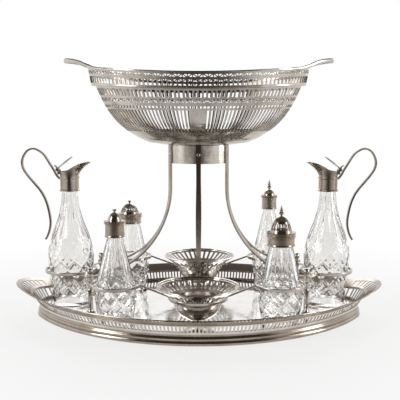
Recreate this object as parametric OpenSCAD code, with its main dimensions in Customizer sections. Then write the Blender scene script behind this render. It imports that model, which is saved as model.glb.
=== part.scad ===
// Silver epergne: a galleried tray with a ring frame that carries two glass jugs, four glass casters
// and two pierced dishes, and a strap stand that holds a pierced boat-shaped basket.
// Millimetres, +Z up, +X along the tray. The origin is on the table, under the middle of the tray.

/* [Tray] */
// Length of the foot moulding
tray_length = 390; // [370:1:430]
// Width of the foot moulding
tray_width = 260; // [250:1:290]
// Radius of the tray's rounded ends
tray_end_radius = 42; // [34:1:60]
// Height of the foot moulding, up to the top of the tray floor
foot_height = 12; // [11:0.5:18]
// Width of the foot moulding's ring
foot_ring = 5; // [4.5:0.5:8]
// Thickness of the tray floor
floor_thickness = 1.6; // [1:0.1:2.4]
// Height of the gallery along the sides
gallery_height = 19; // [14:0.5:26]
// How far the gallery leans out along the sides
gallery_flare = 17.5; // [8:0.5:22]
// Height of the gallery at the tips of the end handles
tip_height = 27; // [22:0.5:34]
// How far the end handles lean out at their tips
tip_flare = 27.5; // [18:0.5:36]
// Thickness of the gallery's sheet, measured level
gallery_wall = 2.2; // [1.4:0.1:2.6]
// Slots along each side of the gallery
side_slots = 52; // [30:1:64]
// Slots in each end handle, in each of its two rows
end_slots = 15; // [9:1:21]

/* [Ring frame] */
// Distance of the jug rings from the middle
jug_x = 154; // [148:0.5:158]
// Distance of the caster rings from the middle, along the tray
caster_x = 91; // [87:0.5:95]
// Distance of the caster rings from the middle, across the tray
caster_y = 80; // [77:0.5:83]
// Distance of the dish rings from the middle
dish_y = 86; // [82:0.5:92]
// Distance of the posts from the middle, along the tray
post_x = 124; // [120:0.5:127]
// Distance of the posts from the middle, across the tray
post_y = 46; // [44:0.5:50]
// Height of the rings' middle above the tray floor
ring_height = 42; // [36:0.5:48]
// Height of the strip that the rings are bent from
ring_strip = 4; // [3:0.1:5.5]
// Thickness of the strip that the rings are bent from
ring_wall = 1.6; // [1:0.1:2.2]
// Room between a bottle and its ring
ring_room = 2; // [1:0.1:3]
// Least room between a jug's foot and the gallery at the tray's end
jug_end_room = 8; // [4:0.5:10]
// Radius of the posts' shafts
post_radius = 2.8; // [2.4:0.1:4]
// Radius of the studs and pins at the posts' ends
pin_radius = 1.9; // [1.4:0.1:2.2]
// Radius of the flat eyes that the posts clamp
eye_radius = 4.4; // [3.8:0.1:6]
// Thickness of the rings' arms and eyes
eye_thickness = 1.2; // [0.8:0.1:1.6]
// Radius of the finials' balls
finial_radius = 3.9; // [3:0.1:5]
// Radius of the wires from the dish rings to the caster rings
wire_radius = 1.1; // [0.8:0.1:1.5]

/* [Stand] */
// Height of the collar band's top above the tray floor
stand_height = 192; // [180:1:215]
// Length of the oval collar band
band_length = 68; // [64:0.5:76]
// Width of the oval collar band
band_width = 44; // [40:0.5:48]
// Radius of the collar band's rounded ends
band_end_radius = 14; // [12:0.5:17]
// Height of the collar band
band_height = 21; // [16:0.5:28]
// Thickness of the collar band
band_wall = 1.6; // [1:0.1:2.2]
// Width of the strap legs
strap_width = 6; // [5:0.1:8]
// Thickness of the strap legs
strap_thickness = 1.8; // [1.2:0.1:2.4]
// Radius of the rivets through the collar band
rivet_radius = 1.2; // [0.8:0.1:1.6]

/* [Basket] */
// Length of the basket at its rim, without the handles
basket_length = 259; // [245:1:275]
// Width of the basket at its rim
basket_width = 164; // [150:1:176]
// Depth of the pierced bowl, up to its ridge
bowl_depth = 64; // [54:1:76]
// Height of the pierced collar above the ridge
collar_height = 18; // [14:0.5:24]
// How far the ridge stands out past the bowl
ridge_step = 4.6; // [3:0.2:6]
// How far the collar leans out above the ridge
collar_flare = 4.4; // [2:0.2:7]
// How much the basket's ends rise above its middle
basket_sheer = 8; // [4:0.5:12]
// Thickness of the basket's sheet
basket_wall = 1.6; // [1.2:0.1:2.2]
// Upright slots around the basket, in each row
basket_slots = 56; // [40:2:64]
// Reach of a basket handle past the rim
basket_handle_reach = 29; // [24:0.5:36]
// Half width of a basket handle at its root
basket_handle_root = 26; // [22:0.5:32]
// Radius of a basket handle's end
basket_handle_tip = 13; // [11:0.5:16]
// Upward slope of the basket handles in degrees
basket_handle_slope = 22; // [14:1:30]
// Thickness of the basket handles
basket_handle_thickness = 2.2; // [1.4:0.1:3]
// Depth of the spigot that drops into the collar band
spigot_depth = 12; // [8:0.5:15]

/* [Jugs] */
// Height of a jug's glass below its silver collar
jug_glass_height = 137; // [128:1:146]
// Radius of a jug's glass at its widest
jug_belly = 27.4; // [25:0.2:29]
// Radius of a jug's glass neck
jug_neck = 9.4; // [8.6:0.1:10.4]
// Thickness of the glass
glass_wall = 2.2; // [1.6:0.1:2.8]
// Height of a jug's silver collar
jug_collar_height = 17; // [14:0.5:22]
// Reach of the pouring lip from the jug's axis
lip_reach = 25.5; // [22:0.5:29]
// Height of the pouring lip's tip above the collar
lip_height = 17; // [14:0.5:20]
// Height of the mouth's back and sides above the collar
mouth_height = 6; // [4.5:0.5:7]
// Radius of a jug's lid
lid_radius = 10; // [9:0.1:10.2]
// How far the lids stand open, in degrees
lid_open = 38; // [20:1:55]
// Radius of the lids' hinge pins
hinge_pin_radius = 0.9; // [0.7:0.05:1.1]
// Width of a jug's handle strip
handle_width = 4.6; // [3.6:0.2:6]
// Thickness of a jug's handle strip
handle_thickness = 2.2; // [1.6:0.1:2.8]

/* [Casters] */
// Height of the front left caster's glass
slim_glass_height = 95.5; // [90:0.5:102]
// Radius of the front left caster's glass at its widest
slim_belly = 23.2; // [21:0.2:24.2]
// Radius of the front left caster's neck
slim_neck = 9; // [8.4:0.1:10]
// Height of the back right caster's glass
tall_glass_height = 105; // [100:0.5:110]
// Radius of the back right caster's glass at its widest
tall_belly = 21.4; // [19:0.2:23]
// Radius of the back right caster's neck
tall_neck = 8; // [7.6:0.1:9]
// Height of the two wide casters' glass
wide_glass_height = 86; // [80:0.5:92]
// Radius of the wide casters' glass at its widest
wide_belly = 24.4; // [22:0.2:24.8]
// Radius of the wide casters' necks
wide_neck = 13.4; // [12.8:0.1:14.4]
// Thickness of the casters' silver sleeves
sleeve_wall = 1.2; // [0.8:0.1:1.6]
// Height of the slim and tall casters' silver sleeves
slim_sleeve = 14.5; // [11:0.5:19]
// Height of the front right caster's silver sleeve
wide_sleeve = 9.5; // [8.5:0.5:14]
// Height of the back left caster's silver sleeve
low_sleeve = 7.5; // [7:0.5:12]
// Depth of the tube that a cap drops into its sleeve
cap_spigot = 3; // [2:0.5:4]
// How far a cap's flange stands out past the sleeve
flange_reach = 1.4; // [0.8:0.1:2]
// Height of the slim and tall casters' flanges
slim_flange = 3; // [2.4:0.1:4]
// Height of the wide casters' flanges
wide_flange = 5.2; // [4:0.1:6.5]
// Radius of the slim and tall casters' domes
slim_dome_radius = 7.4; // [7:0.1:8]
// Height of the front left caster's dome
slim_dome = 9.4; // [8:0.2:12]
// Height of the back right caster's dome
tall_dome = 7.4; // [6.4:0.2:10]
// Radius of the wide casters' domes
wide_dome_radius = 12; // [11:0.1:12.6]
// Height of the front right caster's dome
wide_dome = 17.6; // [14:0.2:20]
// Height of the back left caster's dome
low_dome = 13; // [11:0.2:16]
// Thickness of the caps' sheet
cap_wall = 1.1; // [0.9:0.1:1.3]
// Radius of the holes in the wide casters' domes
cap_hole = 0.9; // [0.6:0.1:1.1]
// Height of the spire finials
spire_height = 12.5; // [9:0.5:16]
// Height of the knob finials
knob_height = 4.6; // [3.6:0.2:6]

/* [Dishes] */
// Radius of a dish at its pierced rim
dish_radius = 45.8; // [42:0.2:48]
// Radius of a dish's bowl where the rim begins
dish_bowl_radius = 27.5; // [25:0.2:29]
// Depth of a dish's bowl
dish_bowl_depth = 25; // [20:0.5:27]
// Rise of a dish's pierced rim
dish_rim_rise = 12.5; // [9:0.5:16]
// Thickness of a dish's sheet
dish_wall = 1.2; // [0.9:0.1:1.6]
// Gap between a dish's bowl and the tray floor
dish_standoff = 4; // [2:0.5:8]
// Slots in a dish's rim
dish_slots = 36; // [24:1:44]

/* [Fits] */
// Gap between pieces that lift or turn on each other
loose = 0.3; // [0.2:0.05:0.5]
// Gap around pins, studs and rivets in their holes
close = 0.1; // [0.05:0.01:0.2]

/* [Hidden] */
$fn = 64;
degrees = 180 / PI;
// Overrun of cutting shapes past the faces that they cut
past = 1;
silver = "silver";
bright_silver = "gainsboro";
glass = "lightcyan";

// Heights of the main levels
floor_z = foot_height;
ring_z = floor_z + ring_height;
shoulder_z = ring_z - ring_strip / 2;
jug_eye_z = shoulder_z;
caster_eye_z = jug_eye_z + eye_thickness;
leg_eye_z = caster_eye_z + eye_thickness;
finial_z = leg_eye_z + strap_thickness;
band_top_z = floor_z + stand_height;
rivet_z = band_top_z - band_height / 2;

// Corners of the four-cornered layout: which side each post, ring, leg and caster is on
FRONT_LEFT = [-1, -1];
FRONT_RIGHT = [1, -1];
BACK_LEFT = [-1, 1];
BACK_RIGHT = [1, 1];
CORNERS = [FRONT_LEFT, FRONT_RIGHT, BACK_LEFT, BACK_RIGHT];

// A four-arc oval: half length, half width, end radius, side radius, and the turn where the arcs join
function oval(half_length, half_width, end_radius) =
    let (side_radius = (pow(half_length, 2) + pow(half_width, 2) - 2 * half_length * end_radius)
            / (2 * (half_width - end_radius)))
    [half_length, half_width, end_radius, side_radius,
     atan2(side_radius - half_width, half_length - end_radius)];
function end_centre(o) = o[0] - o[2];
function side_centre(o) = o[3] - o[1];
band_oval = oval(band_length / 2, band_width / 2, band_end_radius);

// Smooth curve through a few points: steps points along each span
function curve_point(a, b, c, d, t) =
    0.5 * (2 * b + (c - a) * t + (2 * a - 5 * b + 4 * c - d) * t * t + (3 * b - a - 3 * c + d) * t * t * t);
function smooth_curve(p, steps) =
    let (last = len(p) - 1)
    concat([for (i = [0:last - 1], k = [0:steps - 1])
        curve_point(p[max(i - 1, 0)], p[i], p[i + 1], p[min(i + 2, last)], k / steps)], [p[last]]);
function reversed(list) = [for (i = [len(list) - 1:-1:0]) list[i]];

// The ring of an oval sweep: its children are a profile of offset from the oval against height
module oval_sweep(o) {
    for (turn = [0, 180]) rotate(turn) {
        translate([end_centre(o), 0, 0]) rotate(-o[4])
            rotate_extrude(angle = 2 * o[4]) translate([o[2], 0]) children();
        translate([0, -side_centre(o), 0]) rotate(o[4])
            rotate_extrude(angle = 180 - 2 * o[4]) translate([o[3], 0]) children();
    }
}

// The flat oval inside an oval sweep, grown by an offset
module oval_area(o, grow) {
    join_x = end_centre(o) + (o[2] + grow) * cos(o[4]);
    for (side = [-1, 1]) translate([side * end_centre(o), 0]) circle(o[2] + grow);
    intersection() {
        translate([0, side_centre(o)]) circle(o[3] + grow);
        translate([0, -side_centre(o)]) circle(o[3] + grow);
        square([2 * join_x, 2 * (o[1] + grow)], center = true);
    }
}

// A flat oval ring, from an offset inwards
module oval_ring(o, grow, wall) {
    difference() {
        oval_area(o, grow);
        oval_area(o, grow - wall);
    }
}

// A pierced sheet between two grids of points. Rows marked open have a hole in every second column.
module pierced_sheet(outer, inner, open, closed, has_floor) {
    rows = len(outer) - 1;
    across = len(outer[0]);
    columns = closed ? across : across - 1;
    function o(j, i) = j * across + (i + across) % across;
    function n(j, i) = (rows + 1) * across + o(j, i);
    function is_solid(j, i) = j >= 0 && j < rows && (closed || (i >= 0 && i < columns))
        && !(open[j] && (i + columns) % 2 == 1);
    function pair(a, b, c, d) = [[a, b, c], [a, c, d]];
    cells = [for (j = [0:rows - 1], i = [0:columns - 1]) if (is_solid(j, i)) [j, i]];
    walls = [for (cell = cells) let (j = cell[0], i = cell[1]) each concat(
        pair(o(j, i), o(j + 1, i), o(j + 1, i + 1), o(j, i + 1)),
        pair(n(j, i), n(j, i + 1), n(j + 1, i + 1), n(j + 1, i)),
        is_solid(j - 1, i) || (has_floor && j == 0) ? []
            : pair(o(j, i), o(j, i + 1), n(j, i + 1), n(j, i)),
        is_solid(j + 1, i) ? [] : pair(o(j + 1, i + 1), o(j + 1, i), n(j + 1, i), n(j + 1, i + 1)),
        is_solid(j, i - 1) ? [] : pair(o(j + 1, i), o(j, i), n(j, i), n(j + 1, i)),
        is_solid(j, i + 1) ? [] : pair(o(j, i + 1), o(j + 1, i + 1), n(j + 1, i + 1), n(j, i + 1)))];
    floors = has_floor
        ? [[for (i = [0:columns - 1]) o(0, i)], [for (i = [columns - 1:-1:0]) n(0, i)]]
        : [];
    polyhedron([for (row = concat(outer, inner)) each row], concat(walls, floors));
}

// Tray

moulding_top_inset = 2.2;
ledge_reach = 3;
ledge_thickness = 1.4;
gallery_seat = moulding_top_inset + 0.2;
floor_inset = foot_ring;
// The jug's outline, as shares of its belly and height
jug_shape = [[0.8, 0], [0.84, 0.1], [0.93, 0.27], [1, 0.44], [0.84, 0.6], [0.58, 0.74], [0.42, 0.86],
    [0.36, 0.97]];
// The tray is long enough for the jugs' feet to stand inside its gallery
jug_foot_end = jug_x + jug_shape[0][0] * jug_belly;
tray_half_length = max(tray_length / 2, jug_foot_end + jug_end_room + gallery_wall + gallery_seat);
tray_oval = oval(tray_half_length, tray_width / 2, tray_end_radius);

module foot_profile() {
    ledge_z = foot_height - floor_thickness;
    polygon([
        [-foot_ring, 0], [0, 0], [0, foot_height * 0.38], [-1, foot_height * 0.46], [-1, foot_height * 0.58],
        [-moulding_top_inset, foot_height * 0.72], [-moulding_top_inset, foot_height],
        [-foot_ring, foot_height], [-foot_ring, ledge_z], [-foot_ring - ledge_reach, ledge_z],
        [-foot_ring - ledge_reach, ledge_z - ledge_thickness], [-foot_ring, ledge_z - ledge_thickness]
    ]);
}

module foot_moulding() {
    color(silver) oval_sweep(tray_oval) foot_profile();
}

module stud_holes(radius) {
    for (corner = CORNERS) translate([corner[0] * post_x, corner[1] * post_y, 0])
        cylinder(r = radius, h = 2 * floor_z);
    for (side = [-1, 1]) translate([0, side * strut_foot_y, 0]) cylinder(r = radius, h = 2 * floor_z);
}

module tray_floor() {
    color(bright_silver) difference() {
        translate([0, 0, floor_z - floor_thickness])
            linear_extrude(floor_thickness) oval_area(tray_oval, -floor_inset - close);
        stud_holes(pin_radius + close);
    }
}

// The gallery leans out more and more towards its edge
function lean(share, flare) = -gallery_seat + flare * share * share;
slot_foot = 0.16;
slot_head = 0.57;
gallery_turn = tray_oval[4] + 6;

module gallery_side() {
    shares = [0, 0.2, 0.4, 0.6, 0.8, 1];
    pitch = (180 - 2 * gallery_turn) / (side_slots + 0.5);
    slot_width = tray_oval[3] * pitch / degrees * 0.56;
    color(silver) translate([0, -side_centre(tray_oval), 0]) difference() {
        rotate(gallery_turn) rotate_extrude(angle = 180 - 2 * gallery_turn) translate([tray_oval[3], floor_z])
            polygon(concat(
                [for (s = shares) [lean(s, gallery_flare), s * gallery_height]],
                [for (s = reversed(shares)) [lean(s, gallery_flare) - gallery_wall, s * gallery_height]]));
        for (k = [0:side_slots - 1]) rotate(gallery_turn + (k + 0.75) * pitch)
            translate([tray_oval[3] - gallery_seat - gallery_wall - past, -slot_width / 2,
                       floor_z + slot_foot * gallery_height])
                cube([gallery_flare + gallery_wall + 2 * past, slot_width,
                      (slot_head - slot_foot) * gallery_height]);
    }
}

module gallery_back() { gallery_side(); }
module gallery_front() { rotate(180) gallery_side(); }

// Distance along the tray's oval from a tip to where the end handle meets the side
tip_arc = tray_oval[2] * tray_oval[4] / degrees;
handle_arc = tip_arc + tray_oval[3] * (gallery_turn - tray_oval[4]) / degrees;
function tray_turn(s) = abs(s) < tip_arc ? s / tray_oval[2] * degrees
    : sign(s) * (tray_oval[4] + (abs(s) - tip_arc) / tray_oval[3] * degrees);
function tray_point(s, grow, z) =
    let (turn = tray_turn(s), on_tip = abs(s) < tip_arc)
    [(on_tip ? end_centre(tray_oval) : 0) + ((on_tip ? tray_oval[2] : tray_oval[3]) + grow) * cos(turn),
     (on_tip ? 0 : -sign(s) * side_centre(tray_oval))
        + ((on_tip ? tray_oval[2] : tray_oval[3]) + grow) * sin(turn), z];
function swell(s) = (1 + cos(180 * s / handle_arc)) / 2;

module end_handle() {
    shares = [0, 0.12, 0.5, 0.62, 0.84, 1];
    open = [false, true, false, true, false];
    pitch = 2 * handle_arc / (end_slots + 0.45);
    stops = concat([for (k = [0:end_slots - 1]) each [k * pitch, (k + 0.45) * pitch]],
        [end_slots * pitch, 2 * handle_arc]);
    function grid(inset) = [for (share = shares) [for (stop = stops)
        let (s = stop - handle_arc,
             flare = gallery_flare + (tip_flare - gallery_flare) * swell(s),
             height = gallery_height + (tip_height - gallery_height) * swell(s))
        tray_point(s, lean(share, flare) - inset, floor_z + share * height)]];
    color(silver) pierced_sheet(grid(0), grid(gallery_wall), open, false, false);
}

module end_handle_right() { end_handle(); }
module end_handle_left() { rotate(180) end_handle(); }

// Posts, finials and nuts

stud_length = 4.2;
nut_height = 2.6;
nut_radius = 3.6;
post_foot_height = 1.6;
finial_neck = 2.2;

module post(corner) {
    shaft = post_radius;
    foot_r = shaft * 1.9;
    top = shoulder_z - floor_z;
    pin_top = finial_z - floor_z + finial_neck + finial_radius;
    stud_bottom = -floor_thickness - stud_length;
    color(silver) translate([corner[0] * post_x, corner[1] * post_y, floor_z]) rotate_extrude() polygon([
        [0, stud_bottom], [pin_radius, stud_bottom], [pin_radius, 0], [foot_r, 0], [foot_r, post_foot_height],
        [shaft * 1.3, post_foot_height * 2], [shaft, post_foot_height * 3], [shaft, top * 0.62],
        [shaft * 1.35, top * 0.66], [shaft * 1.35, top * 0.7], [shaft, top * 0.74], [shaft * 0.86, top * 0.9],
        [shaft * 1.35, top * 0.95], [shaft * 1.35, top], [pin_radius, top], [pin_radius, pin_top],
        [0, pin_top]
    ]);
}

module post_front_left() { post(FRONT_LEFT); }
module post_front_right() { post(FRONT_RIGHT); }
module post_back_left() { post(BACK_LEFT); }
module post_back_right() { post(BACK_RIGHT); }

module finial() {
    bore_depth = finial_neck + finial_radius + close;
    difference() {
        union() {
            translate([0, 0, finial_neck + finial_radius * 0.86]) sphere(finial_radius);
            cylinder(r = finial_radius * 0.9, h = finial_neck * 0.4);
            cylinder(r = finial_radius * 0.68, h = finial_neck + finial_radius * 0.5);
        }
        translate([0, 0, -past]) cylinder(r = pin_radius + close, h = bore_depth + past);
    }
}

module post_finials() {
    color(bright_silver) for (corner = CORNERS)
        translate([corner[0] * post_x, corner[1] * post_y, finial_z]) finial();
}

module nut() {
    difference() {
        cylinder(r = nut_radius, h = nut_height, $fn = 6);
        translate([0, 0, -past]) cylinder(r = pin_radius + close, h = nut_height + 2 * past);
    }
}

module frame_nuts() {
    nut_z = floor_z - floor_thickness - nut_height;
    color(silver) {
        for (corner = CORNERS) translate([corner[0] * post_x, corner[1] * post_y, nut_z]) nut();
        for (side = [-1, 1]) translate([0, side * strut_foot_y, nut_z]) nut();
    }
}

// Rings

jug_ring_radius = jug_belly + ring_room + ring_wall / 2;
caster_ring_radius = max(slim_belly, tall_belly, wide_belly) + ring_room + ring_wall / 2;
dish_ring_radius = dish_bowl_radius + ring_room * 2 + ring_wall / 2;

module ring(radius, height) {
    flat = height - ring_wall;
    rotate_extrude() translate([radius, 0]) {
        square([ring_wall, flat], center = true);
        for (end = [-1, 1]) translate([0, end * flat / 2]) circle(ring_wall / 2);
    }
}

// An arm from a ring's middle out to the eye round a post, with its underside at a height
module ring_arm(from, to, inner_radius, z) {
    run = to - from;
    difference() {
        union() {
            translate([from[0], from[1], z]) rotate(atan2(run[1], run[0]))
                translate([inner_radius, -ring_strip / 2, 0])
                    cube([norm(run) - inner_radius, ring_strip, eye_thickness]);
            translate([to[0], to[1], z]) cylinder(r = eye_radius, h = eye_thickness);
        }
        translate([to[0], to[1], z - past]) cylinder(r = pin_radius + close, h = eye_thickness + 2 * past);
    }
}

module jug_ring(side) {
    centre = [side * jug_x, 0];
    color(silver) {
        translate([centre[0], centre[1], ring_z]) ring(jug_ring_radius, ring_strip);
        for (end = [-1, 1]) ring_arm(centre, [side * post_x, end * post_y], jug_ring_radius, jug_eye_z);
    }
}

module jug_ring_left() { jug_ring(-1); }
module jug_ring_right() { jug_ring(1); }

module caster_ring(corner) {
    centre = [corner[0] * caster_x, corner[1] * caster_y];
    color(silver) {
        translate([centre[0], centre[1], ring_z]) ring(caster_ring_radius, ring_strip);
        ring_arm(centre, [corner[0] * post_x, corner[1] * post_y], caster_ring_radius, caster_eye_z);
    }
}

module caster_ring_front_left() { caster_ring(FRONT_LEFT); }
module caster_ring_front_right() { caster_ring(FRONT_RIGHT); }
module caster_ring_back_left() { caster_ring(BACK_LEFT); }
module caster_ring_back_right() { caster_ring(BACK_RIGHT); }

// The dish rim rests on its ring, so the ring's height follows from the dish's slope
dish_slope = atan2(dish_rim_rise, dish_radius - dish_bowl_radius);
dish_bottom_z = floor_z + dish_standoff;
dish_rim_foot_z = dish_bottom_z + dish_bowl_depth;
dish_ring_z = dish_rim_foot_z + (dish_ring_radius - dish_bowl_radius) * tan(dish_slope)
    - (ring_wall / 2 + loose) / cos(dish_slope) - (ring_strip - ring_wall) / 2;

module wire(from, to) {
    run = to - from;
    translate(from) rotate([0, acos(run[2] / norm(run)), atan2(run[1], run[0])])
        cylinder(r = wire_radius, h = norm(run));
}

module dish_ring(side) {
    color(silver) {
        translate([0, side * dish_y, dish_ring_z]) ring(dish_ring_radius, ring_strip);
        for (end = [-1, 1]) difference() {
            heading = atan2(caster_y - dish_y, caster_x);
            wire([end * dish_ring_radius * cos(heading),
                  side * (dish_y + dish_ring_radius * sin(heading)), dish_ring_z],
                 [end * (caster_x - caster_ring_radius * cos(heading)),
                  side * (caster_y - caster_ring_radius * sin(heading)), ring_z]);
            translate([end * caster_x, side * caster_y, 0])
                cylinder(r = caster_ring_radius + ring_wall / 2 + close / 2, h = 2 * ring_z);
        }
    }
}

module dish_ring_front() { dish_ring(-1); }
module dish_ring_back() { dish_ring(1); }

// Stand

strut_foot_y = band_width / 2 + strap_thickness / 2 + close;
leg_turn = atan2(post_y, post_x - end_centre(band_oval));
leg_reach = norm([post_x - end_centre(band_oval), post_y]) - band_end_radius - close;
leg_bend = leg_reach - strap_thickness / 2;
leg_bend_z = leg_eye_z + strap_thickness / 2 + leg_bend;

module rivet_hole() {
    rotate([0, 90, 0])
        cylinder(r = rivet_radius + close, h = 4 * (strap_thickness + band_wall), center = true);
}

// A strap leg drawn along X, with the collar band behind it at x = 0
module leg_strap() {
    difference() {
        union() {
            translate([0, -strap_width / 2, leg_bend_z])
                cube([strap_thickness, strap_width, band_top_z - leg_bend_z]);
            translate([leg_reach, 0, leg_bend_z]) rotate([90, 0, 0]) rotate(180) rotate_extrude(angle = 90)
                translate([leg_bend - strap_thickness / 2, -strap_width / 2])
                    square([strap_thickness, strap_width]);
            translate([leg_reach, 0, leg_eye_z]) cylinder(r = eye_radius, h = strap_thickness);
        }
        translate([leg_reach, 0, leg_eye_z - past])
            cylinder(r = pin_radius + close, h = strap_thickness + 2 * past);
        translate([0, 0, rivet_z]) rivet_hole();
    }
}

// Where a leg's strap meets the band, for the legs at the back right
module at_leg(corner) {
    mirror([corner[0] < 0 ? 1 : 0, 0, 0]) mirror([0, corner[1] < 0 ? 1 : 0, 0])
        translate([end_centre(band_oval), 0, 0]) rotate(leg_turn)
            translate([band_end_radius + close, 0, 0]) children();
}

module leg(corner) { color(silver) at_leg(corner) leg_strap(); }
module leg_front_left() { leg(FRONT_LEFT); }
module leg_front_right() { leg(FRONT_RIGHT); }
module leg_back_left() { leg(BACK_LEFT); }
module leg_back_right() { leg(BACK_RIGHT); }

// A straight strut that swells at half height and stands on a round foot
strut_foot_radius = 6;
strut_foot_height = 1.6;

module strut(side) {
    rise = band_top_z - floor_z;
    half = strap_width / 2;
    edge = smooth_curve([[half * 0.7, 0], [half * 0.85, rise * 0.3], [half * 1.05, rise * 0.55],
        [half * 0.85, rise * 0.8], [half, rise]], 5);
    color(silver) translate([0, side * strut_foot_y, floor_z]) {
        difference() {
            rotate([90, 0, 0]) translate([0, 0, -strap_thickness / 2]) linear_extrude(strap_thickness)
                polygon(concat(edge, [for (p = reversed(edge)) [-p[0], p[1]]]));
            translate([0, 0, rivet_z - floor_z]) rotate(90) rivet_hole();
        }
        cylinder(r = strut_foot_radius, h = strut_foot_height);
        translate([0, 0, -floor_thickness - stud_length])
            cylinder(r = pin_radius, h = floor_thickness + stud_length);
    }
}

module strut_front() { strut(-1); }
module strut_back() { strut(1); }

module collar_band() {
    color(silver) difference() {
        translate([0, 0, band_top_z - band_height])
            linear_extrude(band_height) oval_ring(band_oval, 0, band_wall);
        for (corner = CORNERS) at_leg(corner) translate([0, 0, rivet_z]) rivet_hole();
        for (side = [-1, 1]) translate([0, side * band_width / 2, rivet_z]) rotate(90) rivet_hole();
    }
}

module rivet() {
    head = rivet_radius * 1.7;
    head_height = rivet_radius * 0.7;
    rotate([0, 90, 0]) {
        translate([0, 0, -band_wall - close])
            cylinder(r = rivet_radius, h = band_wall + strap_thickness + 2 * close);
        translate([0, 0, strap_thickness + close / 2])
            cylinder(r1 = head, r2 = rivet_radius, h = head_height);
    }
}

module band_rivets() {
    color(bright_silver) {
        for (corner = CORNERS) at_leg(corner) translate([0, 0, rivet_z]) rivet();
        for (side = [-1, 1]) translate([0, side * (band_width / 2 + close), rivet_z])
            rotate(side * 90) rivet();
    }
}

// Basket

basket_z = band_top_z + loose;
basket_share = basket_width / basket_length;
ridge_half = basket_length / 2 - collar_flare - ridge_step;
// The bowl's outline: half length against height, from its flat bottom to the ridge
bowl_bottom_half = band_length / 2 + 1;
bowl_outline = [[bowl_bottom_half, 0], [ridge_half * 0.49, 0.055], [ridge_half * 0.68, 0.24],
    [ridge_half * 0.81, 0.44], [ridge_half * 0.915, 0.7], [ridge_half, 1]];
function outline_half(height, i = 0) = height >= bowl_outline[i + 1][1] && i < len(bowl_outline) - 2
    ? outline_half(height, i + 1)
    : let (t = (height - bowl_outline[i][1]) / (bowl_outline[i + 1][1] - bowl_outline[i][1]),
           last = len(bowl_outline) - 1)
      curve_point(bowl_outline[max(i - 1, 0)], bowl_outline[i], bowl_outline[i + 1],
          bowl_outline[min(i + 2, last)], t)[0];
// The share of the depth where the plain bottom ends and the pierced wall begins
bowl_seam = 0.24;
// Turns of the slots' edges: a bar, then a slot
bar_share = 0.42;
basket_turns = [for (k = [0:basket_slots - 1]) each [k, k + bar_share] * 360 / basket_slots];
function boat_point(half, turn, z) =
    [half * cos(turn), half * basket_share * sin(turn),
     z + basket_sheer * pow(cos(turn), 2) * pow((z - basket_z) / (bowl_depth + collar_height), 2)];
function boat_row(half, z) = [for (turn = basket_turns) boat_point(half, turn, z)];

// The sheet between two rows of shares of the bowl's depth, raised by lift
function bowl_outer(shares, lift) = [for (share = shares)
    boat_row(outline_half(share), basket_z + share * bowl_depth + lift)];
function bowl_inner(shares, lift) = [for (share = shares) boat_row(outline_half(share) - basket_wall,
    basket_z + lift + (share == 0 ? basket_wall : share * bowl_depth + basket_wall * 0.8 * (1 - share)))];

module basket_base() {
    shares = [0, 0.055, bowl_seam];
    open = [false, false];
    color(silver) pierced_sheet(bowl_outer(shares, 0), bowl_inner(shares, 0), open, true, true);
}

module basket_bowl() {
    shares = [bowl_seam, 0.29, 0.57, 0.7, 0.74, 0.9, 1];
    open = [false, true, false, false, true, false];
    color(silver) pierced_sheet(bowl_outer(shares, close), bowl_inner(shares, close), open, true, false);
}

module basket_collar() {
    seat_z = basket_z + bowl_depth + 2 * close;
    ridge_out = ridge_half + ridge_step;
    lip = basket_wall * 0.8;
    heights = [0, 0.06, 0.12, 0.54, 0.66, 0.86, 1];
    open = [false, false, true, false, true, false];
    outer_half = [ridge_half, ridge_out, for (k = [2:6]) ridge_out + collar_flare * heights[k]];
    inner_half = [ridge_half - basket_wall, ridge_out - basket_wall,
        for (k = [2:6]) ridge_out + collar_flare * heights[k] - basket_wall];
    outer = [for (k = [0:6]) boat_row(outer_half[k], seat_z + heights[k] * collar_height)];
    inner = [for (k = [0:6]) boat_row(inner_half[k],
        seat_z + heights[k] * collar_height + (k < 2 ? lip : 0))];
    color(silver) pierced_sheet(outer, inner, open, true, false);
}

module basket_spigot() {
    spigot_wall = 1.6;
    outside = -band_wall - loose;
    color(silver) translate([0, 0, basket_z - spigot_depth - loose])
        linear_extrude(spigot_depth + loose) oval_ring(band_oval, outside, spigot_wall);
}

rim_z = basket_z + bowl_depth + collar_height + 2 * close;

// A handle drawn flat along X from the basket's end, with a long slot, then tilted up
module handle_area(root, tip, reach) {
    translate([reach - tip, 0]) circle(tip);
    polygon([[0, -root], [reach - tip, -tip], [reach - tip, tip], [0, root]]);
}

module basket_handle() {
    border = 5;
    root_x = basket_length / 2 - collar_flare;
    drop = 4;
    end_z = rim_z + basket_sheer - drop;
    flare_here = collar_flare * (1 - drop / collar_height);
    color(silver) difference() {
        translate([root_x - past, 0, end_z]) rotate([0, -basket_handle_slope, 0])
            translate([0, 0, -basket_handle_thickness / 2])
            linear_extrude(basket_handle_thickness) difference() {
                handle_area(basket_handle_root, basket_handle_tip,
                    (basket_handle_reach + collar_flare) / cos(basket_handle_slope));
                translate([collar_flare + border * 1.6, 0])
                    handle_area(basket_handle_root - border * 2.2, basket_handle_tip - border,
                        basket_handle_reach / cos(basket_handle_slope) - border * 2.4);
            }
        scale([1, basket_share, 1])
            cylinder(r1 = root_x + flare_here - collar_height * 0.3, r2 = root_x + flare_here + close * 8,
                     h = end_z + drop * 2);
    }
}

module basket_handle_right() { basket_handle(); }
module basket_handle_left() { rotate(180) basket_handle(); }

// Jugs, drawn upright on their axis with the pouring lip towards +X

bottle_z = floor_z + loose;
jug_collar_z = bottle_z + jug_glass_height;
jug_lip_z = jug_collar_z + jug_collar_height;
collar_wall = 1.5;
collar_radius = jug_neck + close * 2 + collar_wall;

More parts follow.
